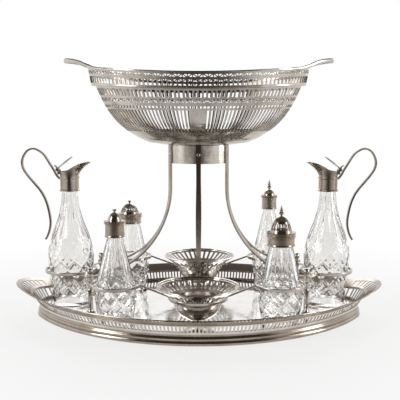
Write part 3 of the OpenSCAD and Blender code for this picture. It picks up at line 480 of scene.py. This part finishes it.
def round_out(bm, low, high, cuts):
    """Cuts the straight bars between two shares of the bowl's height and brings them to its curve."""
    foot, head = value_on_line(BOWL_LINE, low), value_on_line(BOWL_LINE, high)
    for cut in range(1, cuts + 1):
        level = BASKET_Z + BOWL_DEPTH * (low + (high - low) * cut / (cuts + 1))
        bmesh.ops.bisect_plane(bm, geom=bm.verts[:] + bm.edges[:] + bm.faces[:], dist=SAME_POINT / 10,
                               plane_co=(0, 0, level), plane_no=UP)
    for vert in bm.verts:
        share = (vert.co.z - BASKET_Z) / BOWL_DEPTH
        if low < share < high:
            straight = foot + (head - foot) * (share - low) / (high - low)
            grow = value_on_line(BOWL_LINE, share) / straight
            vert.co.x *= grow
            vert.co.y *= grow


def make_basket_bowl():
    """A plain bottom, long slots with a plain panel on each side, dots, zigzag cuts and tall slots."""
    heights = [BASKET_Z + BOWL_DEPTH * share for share in BOWL_SHARES]
    line = [(value_on_line(BOWL_LINE, share), height) for share, height in zip(BOWL_SHARES, heights)]
    bm = bmesh.new()
    sheet = spin_line(bm, [(BOWL_HUB, BASKET_Z)] + line, BASKET_COLUMNS)
    rows = rows_by_height(sheet, heights)
    long_slots = [face for face in rows[LONG_SLOTS] if abs(face.calc_center_median().x) > PANEL_HALF]
    zigzags = zigzag(bm, rows[ZIGZAGS], BASKET_COLUMNS)
    tall_slots = every_other(rows[TALL_SLOTS], BASKET_COLUMNS, 0)
    tall_dots = every_other(rows[TALL_SLOTS], BASKET_COLUMNS, 1)
    low = BASKET_Z + HUB_REACH
    hub = [edge for edge in bm.edges if edge.is_boundary and all(vert.co.z < low for vert in edge.verts)]
    bmesh.ops.contextual_create(bm, geom=hub)
    pierce(bm, long_slots, border=0.95, rounding=0.6)
    pierce(bm, rows[DOTS], border=0.85, rounding=0.8)
    pierce(bm, zigzags, border=0.55, rounding=0.25)
    pierce(bm, tall_slots, border=0.95, rounding=0.9)
    pierce(bm, tall_dots, border=1.5, rounding=0.7)
    round_out(bm, BOWL_SHARES[LONG_SLOTS], BOWL_SHARES[LONG_SLOTS + 1], LONG_SLOT_CUTS)
    for vert in bm.verts:
        boat(vert)
    thicken(bm, BASKET_SHEET, (0, 0, BASKET_Z + BOWL_DEPTH))
    finish_piece(bm, "basket_bowl_pierced", SILVER, "basket", ["basket_base", "basket_bowl"],
                 inside=SHADED_INNER_SILVER)


def make_basket_collar():
    """A ledge out from the bowl's ridge, a row of slots, a row of zigzag cuts and two beads."""
    seat = BASKET_Z + BOWL_DEPTH + COLLAR_GAP
    out = RIDGE_HALF + RIDGE_STEP
    heights = [seat + COLLAR_HEIGHT * share for share in COLLAR_SHARES]
    line = [(out + COLLAR_FLARE * share, height) for share, height in zip(COLLAR_SHARES, heights)]
    bm = bmesh.new()
    sheet = spin_line(bm, [(RIDGE_HALF - COLLAR_LAP, seat)] + line, BASKET_COLUMNS)
    rows = rows_by_height(sheet, heights)
    zigzags = zigzag(bm, rows[COLLAR_ZIGZAGS], BASKET_COLUMNS)
    for vert in bm.verts:
        boat(vert)
    pierce(bm, rows[COLLAR_SLOTS], border=0.85, rounding=0.5)
    pierce(bm, zigzags, border=0.55, rounding=0.2)
    thicken(bm, BASKET_SHEET, (0, 0, seat))
    sheet_verts = set(bm.verts)
    edges = ((out + COLLAR_FLARE, heights[-1], RIM_BEAD), (out, heights[0], RIDGE_BEAD))
    for radius, height, (outward, upward, wire_radius) in edges:
        spin_bead(bm, radius + outward, height + upward, wire_radius, BASKET_BEAD_STEPS)
    for vert in bm.verts:
        if vert not in sheet_verts:
            boat(vert)
    finish_piece(bm, "basket_collar_pierced", SILVER, "basket", ["basket_collar"], inside=SHADED_INNER_SILVER)


def make_basket_handle(name, facing):
    """A loop of rounded strip that leaves the rim on both sides and meets at a rounded tip."""
    route = [(x, -y, z) for x, y, z in LOOP_HALF] + LOOP_HALF[-2::-1]
    bm = bmesh.new()
    sweep(bm, smooth_line(route, steps=5), LOOP_ACROSS, LOOP_TALL, LOOP_SIDES)
    bmesh.ops.rotate(bm, verts=bm.verts, cent=ORIGIN, matrix=Matrix.Rotation(facing, 3, "Z"))
    finish_piece(bm, name + "_loop", SILVER, "basket", [name])


# Tray gallery and foot

SIDE_RADIUS = ((TRAY_HALF_LENGTH ** 2 + TRAY_HALF_WIDTH ** 2 - 2 * TRAY_HALF_LENGTH * TRAY_END_RADIUS)
               / (2 * (TRAY_HALF_WIDTH - TRAY_END_RADIUS)))
SIDE_CENTRE = SIDE_RADIUS - TRAY_HALF_WIDTH
END_CENTRE = TRAY_HALF_LENGTH - TRAY_END_RADIUS
JOIN_TURN = math.atan2(SIDE_CENTRE, END_CENTRE)
TIP_ARC = TRAY_END_RADIUS * JOIN_TURN
# An end handle runs from the tip along the tray's edge, to a few degrees into the side's arc
HANDLE_DEGREES = 6
HANDLE_ARC = TIP_ARC + SIDE_RADIUS * math.radians(HANDLE_DEGREES)
# The gallery's lean and height along the sides, and how much more it has at the tips
GALLERY_LEAN, HANDLE_LEAN = 17.5, 10.0
GALLERY_HEIGHT, HANDLE_RISE = 19.0, 8.0
GALLERY_SHEET = 1.0
# Shares of the gallery's height between its rows, and which of the rows are pierced
GALLERY_SHARES = [0.0, 0.1, 0.56, 0.62, 0.92, 0.95, 1.0]
LOWER_SLOTS, UPPER_SLOTS = 1, 3
TIP_PITCH, SIDE_PITCH = 4.8, 4.9
# The least swell of an end handle that has the upper slots
UPPER_SLOTS_FROM = 0.2
# The foot's section: distances out from the tray's edge, and heights
FOOT_PROFILE = [(-5.0, 0.0), (-1.2, 0.0), (-0.3, 0.7), (-0.05, 2.0), (-0.3, 3.6), (-1.1, 4.8), (-1.9, 5.3),
                (-1.9, 5.7), (-1.1, 6.1), (-0.7, 6.9), (-0.8, 7.8), (-1.4, 8.6), (-2.2, 9.2), (-2.4, 9.8),
                (-2.4, FLOOR_Z), (-5.0, FLOOR_Z), (-5.0, 10.4), (-8.0, 10.4), (-8.0, 9.0), (-5.0, 9.0),
                (-5.0, 0.0)]
FOOT_PITCH = 3.0

# An arc of the tray's edge: its centre, radius, the turn to its middle, half its turn, and if it is a tip
Arc = namedtuple("Arc", "centre radius middle half on_tip")
TIP_ARCS = [Arc(Vector((END_CENTRE * math.cos(facing), 0, 0)), TRAY_END_RADIUS, facing, JOIN_TURN, True)
            for facing in (0.0, HALF_TURN)]
SIDE_ARCS = [Arc(Vector((0, -SIDE_CENTRE * math.cos(facing), 0)), SIDE_RADIUS, facing + QUARTER_TURN,
                 QUARTER_TURN - JOIN_TURN, False)
             for facing in (0.0, HALF_TURN)]
ARCS = TIP_ARCS + SIDE_ARCS


def spin_arc(bm, points, arc, pitch):
    """Spins a line of (offset, height) points along one of the tray's arcs."""
    steps = round(2 * arc.half * arc.radius / pitch)
    points = [(arc.radius + grow, height) for grow, height in points]
    return spin_line(bm, points, steps, 2 * arc.half, arc.middle - arc.half, arc.centre)


def tip_swell(turn, arc):
    """How far a place on the tray's edge is into an end handle, by its distance from the tip."""
    apart = abs(math.remainder(turn - arc.middle, FULL_TURN))
    along = arc.radius * apart if arc.on_tip else TIP_ARC + arc.radius * (arc.half - apart)
    return (1 + math.cos(math.pi * along / HANDLE_ARC)) / 2 if along < HANDLE_ARC else 0.0


def arc_turn(place, arc):
    """The turn of a place about an arc's centre. Along the sides, even steps become even from end to end."""
    turn = math.atan2(place.y - arc.centre.y, place.x - arc.centre.x)
    if arc.on_tip:
        return turn
    share = math.remainder(turn - arc.middle, FULL_TURN) / arc.half
    return arc.middle + math.asin(max(-1.0, min(1.0, share * math.sin(arc.half))))


def lean_out(vert, arc):
    """Leans a point of an upright strip out as the gallery leans. Its height is a share of the gallery's."""
    share = vert.co.z
    turn = arc_turn(vert.co, arc)
    swell = tip_swell(turn, arc)
    reach = arc.radius - GALLERY_SEAT + (GALLERY_LEAN + HANDLE_LEAN * swell) * share * share
    vert.co = (arc.centre.x + reach * math.cos(turn), arc.centre.y + reach * math.sin(turn),
               FLOOR_Z + share * (GALLERY_HEIGHT + HANDLE_RISE * swell))


def make_gallery():
    """The pierced gallery: one row of slots along the sides, and a second above it at the end handles."""
    bm = bmesh.new()
    slots = []
    for arc in ARCS:
        pitch = TIP_PITCH if arc.on_tip else SIDE_PITCH
        strip = spin_arc(bm, [(0.0, share) for share in GALLERY_SHARES], arc, pitch)
        rows = rows_by_height(strip, GALLERY_SHARES)
        slots += rows[LOWER_SLOTS]
        for face in rows[UPPER_SLOTS]:
            if tip_swell(arc_turn(face.calc_center_median(), arc), arc) > UPPER_SLOTS_FROM:
                slots.append(face)
        for vert in {vert for face in strip for vert in face.verts}:
            lean_out(vert, arc)
    bmesh.ops.remove_doubles(bm, verts=bm.verts, dist=ARC_JOIN)
    pierce(bm, slots, border=0.85, rounding=0.6)
    thicken(bm, GALLERY_SHEET, (0, 0, FLOOR_Z))
    # The lighter silver here is painted sheen
    finish_piece(bm, "gallery_pierced", SHEEN_PAINTED_SILVER, "tray_frame",
                 ["gallery_front", "gallery_back", "end_handle_left", "end_handle_right"],
                 inside=SHADED_INNER_SILVER)


def make_foot():
    """The tray's foot: a rolled base, a round moulding above it, and the ledge that carries the floor."""
    bm = bmesh.new()
    for arc in ARCS:
        spin_arc(bm, FOOT_PROFILE, arc, FOOT_PITCH)
    bmesh.ops.remove_doubles(bm, verts=bm.verts, dist=ARC_JOIN)
    bmesh.ops.recalc_face_normals(bm, faces=bm.faces)
    # The darker silver here is painted shade
    finish_piece(bm, "foot_moulded", DARK_SILVER, "tray_frame", ["foot_moulding"])


# Dishes

DISH_COLUMNS = 36
DISH_Y, DISH_Z = 86.0, 41.0
DISH_BOWL_RADIUS, DISH_BOWL_DEPTH = 27.5, 25.0
# Degrees between the rings of the bowl, from its bottom to its edge
DISH_BOWL_STEP = 8
DISH_RIM_RADIUS, DISH_RIM_RISE = 45.8, 12.5
# Shares of the rim between its rows, and the row that is pierced
DISH_RIM_SHARES = [0.0, 0.08, 0.84, 0.92, 1.0]
DISH_SLOTS = 1
DISH_SHEET = 0.8
# The distance in from the rim, the height and the wire radius of the two beads
DISH_BEADS = [(1.0, DISH_RIM_RISE + 0.6, 0.9), (3.2, DISH_RIM_RISE * DISH_RIM_SHARES[-2] + 0.2, 0.6)]
DISH_BEAD_STEPS = 96


def make_dish(name, side):
    """A round bowl with a flared rim of slots and two beads."""
    turns = [math.radians(degrees) for degrees in range(DISH_BOWL_STEP, 90, DISH_BOWL_STEP)]
    bowl = [(DISH_BOWL_RADIUS * math.sin(turn), -DISH_BOWL_DEPTH * math.cos(turn)) for turn in turns]
    flare = DISH_RIM_RADIUS - DISH_BOWL_RADIUS
    rim = [(DISH_BOWL_RADIUS + flare * share, DISH_RIM_RISE * share) for share in DISH_RIM_SHARES]
    bm = bmesh.new()
    sheet = spin_line(bm, [(0.0, -DISH_BOWL_DEPTH)] + bowl + rim, DISH_COLUMNS)
    rows = rows_by_height(sheet, [height for radius, height in rim])
    bmesh.ops.remove_doubles(bm, verts=bm.verts, dist=SAME_POINT)
    pierce(bm, rows[DISH_SLOTS], border=1.4, rounding=0.9)
    thicken(bm, DISH_SHEET, (0, 0, DISH_RIM_RISE))
    for inward, height, wire_radius in DISH_BEADS:
        spin_bead(bm, DISH_RIM_RADIUS - inward, height, wire_radius, DISH_BEAD_STEPS)
    bmesh.ops.translate(bm, verts=bm.verts, vec=(0, side * DISH_Y, DISH_Z))
    finish_piece(bm, name + "_pierced", SILVER, name, [name])


# Glass

GLASS_WALL = 2.2
GLASS_STEPS = 128
GLASS_SHARP = 50.0
# Points this near the outline are on the outside. The cutting starts a little above the foot
NEAR_OUTLINE = 0.3
CUT_FROM = 0.5
# Depths of the cuts, the share of a lozenge that a cut is wide, and how a flute starts and curves
LOZENGE_DEPTH, LOZENGE_WIDTH = 0.9, 0.45
FLUTE_DEPTH, FLUTE_FADE, FLUTE_CURVE = 1.4, 0.05, 0.8

# A bottle's flutes, its lozenges round and in rows, and the shares of its height that the lozenges fill
Cutting = namedtuple("Cutting", "flutes lozenges rows low high")
JUG_CUTTING = Cutting(12, 10, 3, 0.1, 0.57)
CASTER_CUTTING = Cutting(12, 9, 2, 0.14, 0.53)

JUG_HEIGHT, JUG_BELLY, JUG_NECK, JUG_NECK_HEIGHT = 137.0, 27.4, 9.4, 14.0
# Outlines of bottles, as shares of the belly's radius and of the height
JUG_SHAPE = [(0.8, 0.0), (0.84, 0.1), (0.93, 0.27), (1.0, 0.44), (0.84, 0.6), (0.58, 0.74), (0.42, 0.86),
             (0.36, 0.97)]


def caster_shape(belly, neck):
    """The outline of a caster, whose shoulder draws in to its neck."""
    share = neck / belly
    return [(0.84, 0.0), (0.9, 0.12), (1.0, 0.36), (0.5 + share * 0.5, 0.68), (0.2 + share * 0.8, 0.86),
            (share, 0.97)]


# Outlines of finials, as shares of the finial's height
SPIRE = [(0.13, 0.0), (0.09, 0.12), (0.2, 0.22), (0.22, 0.32), (0.12, 0.42), (0.15, 0.52), (0.16, 0.62),
         (0.1, 0.76), (0.05, 0.9), (0.0, 1.0)]
KNOB = [(0.3, 0.0), (0.24, 0.2), (0.42, 0.42), (0.48, 0.66), (0.36, 0.88), (0.0, 1.0)]
# A caster's place and glass, its sleeve's height, then its cap: the flange's height, the dome's radius and
# height, the finial's height and outline, and if the dome is pierced
Caster = namedtuple("Caster", "x y height belly neck sleeve flange foot dome finial outline pierced")
CASTERS = {
    "front_left": Caster(-91.0, -80.0, 95.5, 23.2, 9.0, 14.5, 3.0, 7.4, 9.4, 4.6, KNOB, False),
    "front_right": Caster(91.0, -80.0, 86.0, 24.4, 13.4, 9.5, 5.2, 12.0, 17.6, 12.5, SPIRE, True),
    "back_left": Caster(-91.0, 80.0, 86.0, 24.4, 13.4, 7.5, 5.2, 12.0, 13.0, 4.6, KNOB, True),
    "back_right": Caster(91.0, 80.0, 105.0, 21.4, 8.0, 14.5, 3.0, 7.4, 7.4, 12.5, SPIRE, False),
}
# The length of a cap's tube, and the least gap between it and the glass
CAP_TUBE = 3.0
CAP_TUBE_GAP = 0.6


def cut_depth(turn, share, cutting):
    """Depth of the cutting at a place on a bottle: lozenges low down, then upright flutes."""
    depth = 0.0
    if cutting.low < share < cutting.high:
        across = turn / FULL_TURN * cutting.lozenges
        up = (share - cutting.low) / (cutting.high - cutting.low) * cutting.rows
        first = abs((across + up) % 1.0 - 0.5) * 2
        second = abs((across - up) % 1.0 - 0.5) * 2
        depth = LOZENGE_DEPTH * max(0.0, 1 - min(1 - first, 1 - second) / LOZENGE_WIDTH)
    if share > cutting.high:
        fade = min(1.0, (share - cutting.high) / FLUTE_FADE)
        depth = FLUTE_DEPTH * fade * abs(math.sin(turn * cutting.flutes / 2)) ** FLUTE_CURVE
    return depth


def make_bottle(body, x, y, height, belly, neck, neck_height, shape, cutting):
    """A hollow bottle with a thick base, cut on the outside and smooth inside."""
    base = GLASS_WALL * 2
    outline = [(radius * belly, level * height) for radius, level in shape]
    outline = smooth_line(outline + [(neck, height)], steps=20)
    inside = [(radius - GLASS_WALL, level) for radius, level in outline if level > base]
    line = ([(0.0, 0.0)] + [(radius, level) for radius, level in outline]
            + [(neck, height + neck_height), (neck - GLASS_WALL, height + neck_height)]
            + inside[::-1] + [(inside[0][0], base), (0.0, base)])
    bm = bmesh.new()
    spin_line(bm, line, GLASS_STEPS)
    clean(bm)
    for vert in bm.verts:
        radius = math.hypot(vert.co.x, vert.co.y)
        level = vert.co.z
        if CUT_FROM < level < height and abs(radius - value_on_line(outline, level)) < NEAR_OUTLINE:
            cut = cut_depth(math.atan2(vert.co.y, vert.co.x), level / height, cutting)
            vert.co.x *= (radius - cut) / radius
            vert.co.y *= (radius - cut) / radius
    bmesh.ops.translate(bm, verts=bm.verts, vec=(x, y, BOTTLE_Z))
    finish_piece(bm, body + "_cut_glass", GLASS, body, [body + "_glass"], GLASS_SHARP)


def make_glass():
    """The glass of the two jugs and the four casters."""
    for side, x in (("left", -JUG_X), ("right", JUG_X)):
        make_bottle(side + "_jug", x, 0.0, JUG_HEIGHT, JUG_BELLY, JUG_NECK, JUG_NECK_HEIGHT, JUG_SHAPE,
                    JUG_CUTTING)
    for name, caster in CASTERS.items():
        make_bottle(name + "_caster", caster.x, caster.y, caster.height, caster.belly, caster.neck,
                    caster.sleeve - CAP_TUBE - CAP_TUBE_GAP, caster_shape(caster.belly, caster.neck),
                    CASTER_CUTTING)


# Jug mouths and caster caps

MOUTH_Z, MOUTH_RADIUS, MOUTH_WALL = 166.3, 11.1, 1.0
MOUTH_STEPS, MOUTH_LEVELS = 72, 10
# Heights of the mouth at the back and at the lip
MOUTH_BACK, MOUTH_LIP = 6.0, 17.0
# The flare all round and at the lip, how sharply the lip narrows, and how late the flare comes
MOUTH_FLARE, LIP_FLARE, LIP_NARROWING, FLARE_CURVE = 0.6, 14.2, 5, 1.8
MOUTH_LAP = 0.1
# Where the hinge's axis is, and how far its knuckles and ears are from the middle
HINGE_X, HINGE_Z, HINGE_ACROSS = -13.7, 174.9, 3.1
KNUCKLE_RADIUS, KNUCKLE_LENGTH, KNUCKLE_SIDES = 2.0, 2.8, 24
EAR_SIZE = (2.8, 2.6, 5.2)
EAR_X, EAR_Z = -12.1, 172.0

CAP_WALL = 0.9
CAP_GROOVE = 0.6
CAP_LAP = 0.05
CAP_GAP = 0.25
FLANGE_OVERHANG = 2.8
FLANGE_SLOPE = 0.3
# Shares of the flange's height where the groove round it starts, is deep and ends
GROOVE_SHARES = (0.3, 0.42, 0.58, 0.7)
# How far the flange runs in under the dome, above and below
DOME_LAP, DOME_SEAT = 0.6, 1.0
# The dome's outline, as shares of its radius and height, and the points of it between its pierced rows
DOME_SHAPE = [(1.0, 0.0), (0.93, 0.3), (0.7, 0.65), (0.42, 0.88)]
DOME_ROWS = [0, 3, 11, 14, 19, 21, 24]
DOME_ARCHES, DOME_EYES = 1, 3
DOME_COLUMNS = 20
FLANGE_STEPS, FINIAL_STEPS, DOME_STEPS = 64, 40, 48
# How far the finial starts inside the dome's top, at its middle and at its edge
FINIAL_ROOT, FINIAL_SINK = 1.2, 0.4


def make_jug_mouth(side, x, facing):
    """A collar edge drawn out to a pouring lip, with the two ears and knuckles of the lid's hinge."""
    bm = bmesh.new()
    line = [(MOUTH_RADIUS, level / MOUTH_LEVELS) for level in range(MOUTH_LEVELS + 1)]
    spin_line(bm, line, MOUTH_STEPS)
    bmesh.ops.remove_doubles(bm, verts=bm.verts, dist=SAME_POINT)
    for vert in bm.verts:
        turn = math.atan2(vert.co.y, vert.co.x)
        level = vert.co.z
        rise = MOUTH_BACK + (MOUTH_LIP - MOUTH_BACK) * ((1 + math.cos(turn)) / 2) ** 2
        flare = MOUTH_FLARE + LIP_FLARE * max(0.0, math.cos(turn)) ** LIP_NARROWING
        reach = MOUTH_RADIUS - MOUTH_LAP + flare * level ** FLARE_CURVE
        vert.co = (reach * math.cos(turn), reach * math.sin(turn), MOUTH_Z + rise * level)
    thicken(bm, MOUTH_WALL, (0, 0, MOUTH_Z))
    for across in (-HINGE_ACROSS, HINGE_ACROSS):
        ear = bmesh.ops.create_cube(bm, size=1.0)["verts"]
        bmesh.ops.scale(bm, vec=EAR_SIZE, verts=ear)
        bmesh.ops.translate(bm, vec=(EAR_X, across, EAR_Z), verts=ear)
        knuckle = bmesh.ops.create_cone(bm, cap_ends=True, segments=KNUCKLE_SIDES, radius1=KNUCKLE_RADIUS,
                                        radius2=KNUCKLE_RADIUS, depth=KNUCKLE_LENGTH)["verts"]
        bmesh.ops.rotate(bm, cent=ORIGIN, matrix=Matrix.Rotation(QUARTER_TURN, 3, "X"), verts=knuckle)
        bmesh.ops.translate(bm, vec=(HINGE_X, across, HINGE_Z), verts=knuckle)
    bmesh.ops.rotate(bm, cent=ORIGIN, matrix=Matrix.Rotation(facing, 3, "Z"), verts=bm.verts)
    bmesh.ops.translate(bm, vec=(x, 0, 0), verts=bm.verts)
    finish_piece(bm, f"{side}_jug_mouth", DARK_SILVER, f"{side}_jug", [f"{side}_jug_lip"])


def cap_flange(cap):
    """The section of a cap's tube and of its flange, which has a groove round it."""
    tube, wide = cap.neck + CAP_LAP, cap.neck + FLANGE_OVERHANG
    inner, waist = tube - CAP_WALL, wide - CAP_GROOVE
    low, deep_low, deep_high, high = (cap.flange * share for share in GROOVE_SHARES)
    return [(inner, -CAP_TUBE), (tube, -CAP_TUBE), (tube, CAP_LAP), (waist, CAP_LAP), (wide, CAP_GROOVE),
            (wide, low), (waist, deep_low), (waist, deep_high), (wide, high),
            (wide, cap.flange - CAP_GROOVE), (waist, cap.flange),
            (cap.foot - DOME_LAP, cap.flange), (cap.foot - DOME_SEAT, cap.flange - CAP_WALL),
            (inner, cap.flange - CAP_WALL - FLANGE_SLOPE), (inner, -CAP_TUBE)]


def make_cap(name, cap):
    """A moulded flange on a tube, a bell-shaped dome, pierced or plain, and a turned finial."""
    top = cap.flange + cap.dome
    bell = [(cap.foot * wide, cap.flange + cap.dome * high) for wide, high in DOME_SHAPE]
    bell = smooth_line(bell + [(cap.outline[0][0] * cap.finial, top)], steps=6)
    root = top - FINIAL_SINK
    finial = [(radius * cap.finial, root + level * cap.finial) for radius, level in cap.outline]
    bm = bmesh.new()
    spin_line(bm, cap_flange(cap), FLANGE_STEPS)
    spin_line(bm, [(0.0, top - FINIAL_ROOT)] + finial, FINIAL_STEPS)
    clean(bm)
    turned = set(bm.faces)
    if cap.pierced:
        sheet = spin_line(bm, [bell[place] for place in DOME_ROWS], DOME_COLUMNS)
        rows = rows_by_height(sheet, [bell[place][1] for place in DOME_ROWS])
        pierce(bm, rows[DOME_ARCHES], border=0.5, rounding=0.8)
        pierce(bm, every_other(rows[DOME_EYES], DOME_COLUMNS, 0), border=0.4, rounding=0.5)
    else:
        spin_line(bm, bell, DOME_STEPS)
    dome_verts = {vert for face in bm.faces if face not in turned for vert in face.verts}
    bmesh.ops.remove_doubles(bm, verts=list(dome_verts), dist=SAME_POINT)
    dome_faces = [face for face in bm.faces if face not in turned]
    bmesh.ops.recalc_face_normals(bm, faces=dome_faces)
    bmesh.ops.solidify(bm, geom=dome_faces, thickness=CAP_WALL)
    base = BOTTLE_Z + cap.height + cap.sleeve + CAP_GAP
    bmesh.ops.translate(bm, vec=(cap.x, cap.y, base), verts=bm.verts)
    body = name + "_caster_cap"
    finish_piece(bm, body + "_turned", DARK_SILVER, body, [body])


# Solids that are shown as they are

def dress_solids():
    """Gives each solid its finish."""
    for name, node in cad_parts.items():
        material = SILVER
        if name == "tray_floor":
            material = MIRROR_SILVER
        elif name.endswith("_glass"):
            material = GLASS
        elif "_jug_" in name or "_caster_" in name or name.startswith(("leg_", "strut_")):
            material = DARK_SILVER
        node.data.materials.clear()
        node.data.materials.append(material)


# Stage, light and camera

ROOM_COLOUR = (0.055, 0.045, 0.036)
SHEET_COLOUR = (0.85, 0.83, 0.8)
PANEL_COLOUR = (0.95, 0.93, 0.9)
PANEL_SHARE = 0.85
PAPER_GREY = 0.9
STAGE_RADIUS, STAGE_SIDES = 6.0, 96
# The sheet's ramps cover two metres, and the one to the front starts this share before the middle
SHEET_SCALE = 0.5
FRONT_SHARE = 0.65


def make_stage():
    """A white sheet under the part. Reflections see it end before a dark room in front."""
    bm = bmesh.new()
    bmesh.ops.create_circle(bm, cap_ends=True, segments=STAGE_SIDES, radius=STAGE_RADIUS)
    mesh = bpy.data.meshes.new("studio_floor")
    bm.to_mesh(mesh)
    bm.free()
    floor = bpy.data.objects.new("studio_floor", mesh)
    bpy.context.scene.collection.objects.link(floor)
    material = bpy.data.materials.new("studio_white")
    make = Finish(material)
    place = make.node("TexCoord", output="Object")
    apart = make.node("VectorMath", {"operation": "LENGTH"}, "Value", _0=place)
    across = make.node("SeparateXYZ", output="X", Vector=place)
    depth = make.node("SeparateXYZ", output="Y", Vector=place)
    far = make.ramp(apart * SHEET_SCALE, (0.0, 0.65), (0.12, 0.82), (0.27, 1.0))
    front = make.ramp(depth * SHEET_SCALE + FRONT_SHARE, (0.0, 1.0), (0.3, 0.9), (0.6, 0.0))
    middle = make.ramp(abs(across) * SHEET_SCALE, (0.2, 1.0), (0.5, 0.0))
    camera = make.node("LightPath", output="Is Camera Ray")
    glossy = make.node("LightPath", output="Is Glossy Ray")
    through = make.node("LightPath", output="Is Transmission Ray")
    paper = make.node("BsdfDiffuse", Color=grey(PAPER_GREY))
    reflected = make.mix(front * middle, opaque(SHEET_COLOUR), opaque(ROOM_COLOUR))
    glow = make.node("Emission", Color=make.mix(glossy, grey(1.0), reflected), Strength=1.0)
    make.show(make.node("MixShader", _0=camera.most(glossy).most(through) * far, _1=paper, _2=glow))
    mesh.materials.append(material)


def as_share(part):
    """Brings a part of a direction, from -1 to 1, to a share from 0 to 1."""
    return part * 0.5 + 0.5


def make_world():
    """White to the eye. Reflections see a pale studio, a dark ceiling and a dark room in front.

    The room has pale panels at its sides.
    """
    world = bpy.data.worlds.new("studio")
    bpy.context.scene.world = world
    make = Finish(world)
    direction = make.node("TexCoord", output="Generated")
    side = make.node("SeparateXYZ", output="X", Vector=direction)
    depth = make.node("SeparateXYZ", output="Y", Vector=direction)
    height = make.node("SeparateXYZ", output="Z", Vector=direction)
    sky = make.ramp(as_share(height), (0.0, (0.7, 0.69, 0.67)), (0.48, 1.0), (0.66, 1.0),
                    (0.8, (0.26, 0.24, 0.22)), (1.0, (0.16, 0.14, 0.12)))
    room = make.ramp(as_share(depth), (0.0, 1.0), (0.3, 1.0), (0.46, 0.0))
    panels = make.ramp(abs(side), (0.7, 0.0), (0.77, 1.0))
    dark = make.mix(panels * PANEL_SHARE, opaque(ROOM_COLOUR), opaque(PANEL_COLOUR))
    around = make.mix(room, sky, dark)
    camera = make.node("LightPath", output="Is Camera Ray")
    through = make.node("LightPath", output="Is Transmission Ray")
    colour = make.mix(camera.most(through), around, grey(1.0))
    make.show(make.node("Background", Color=colour, Strength=1.0), "OutputWorld")


def make_lamp(name, place, aim_height, width, depth, watts):
    """A softbox that faces a point above the middle of the tray."""
    lamp = bpy.data.lights.new(name, "AREA")
    lamp.shape = "RECTANGLE"
    lamp.size = width
    lamp.size_y = depth
    lamp.energy = watts
    holder = bpy.data.objects.new(name, lamp)
    bpy.context.scene.collection.objects.link(holder)
    holder.location = place
    aim = Vector((0, 0, aim_height))
    holder.rotation_euler = (aim - Vector(place)).to_track_quat("-Z", "Y").to_euler()


def make_camera():
    """The camera that was fitted to the photograph."""
    lens = bpy.data.cameras.new("camera")
    lens.lens = 67.0
    lens.sensor_width = 36.0
    holder = bpy.data.objects.new("camera", lens)
    bpy.context.scene.collection.objects.link(holder)
    holder.location = (0.0092, -0.8829, 0.2487)
    holder.rotation_euler = (math.radians(82.88), 0.0, math.radians(0.49))
    bpy.context.scene.camera = holder


bpy.context.scene.view_settings.view_transform = "Standard"
make_camera()
make_world()
make_stage()
make_lamp("top_softbox", (0.0, 1.4, 1.1), aim_height=0.1, width=1.2, depth=0.8, watts=9.0)
make_lamp("left_softbox", (-1.3, -0.7, 0.7), aim_height=0.15, width=0.5, depth=1.0, watts=8.0)
make_lamp("right_softbox", (1.4, -0.3, 0.6), aim_height=0.15, width=0.4, depth=1.0, watts=6.0)
dress_solids()
make_basket_bowl()
make_basket_collar()
make_gallery()
make_foot()
make_dish("dish_front", -1)
make_dish("dish_back", 1)
make_glass()
make_jug_mouth("left", -JUG_X, 0.0)
make_jug_mouth("right", JUG_X, HALF_TURN)
for caster_name, caster_sizes in CASTERS.items():
    make_cap(caster_name, caster_sizes)
make_basket_handle("basket_handle_right", 0.0)
make_basket_handle("basket_handle_left", HALF_TURN)

bpy.context.view_layer.update()
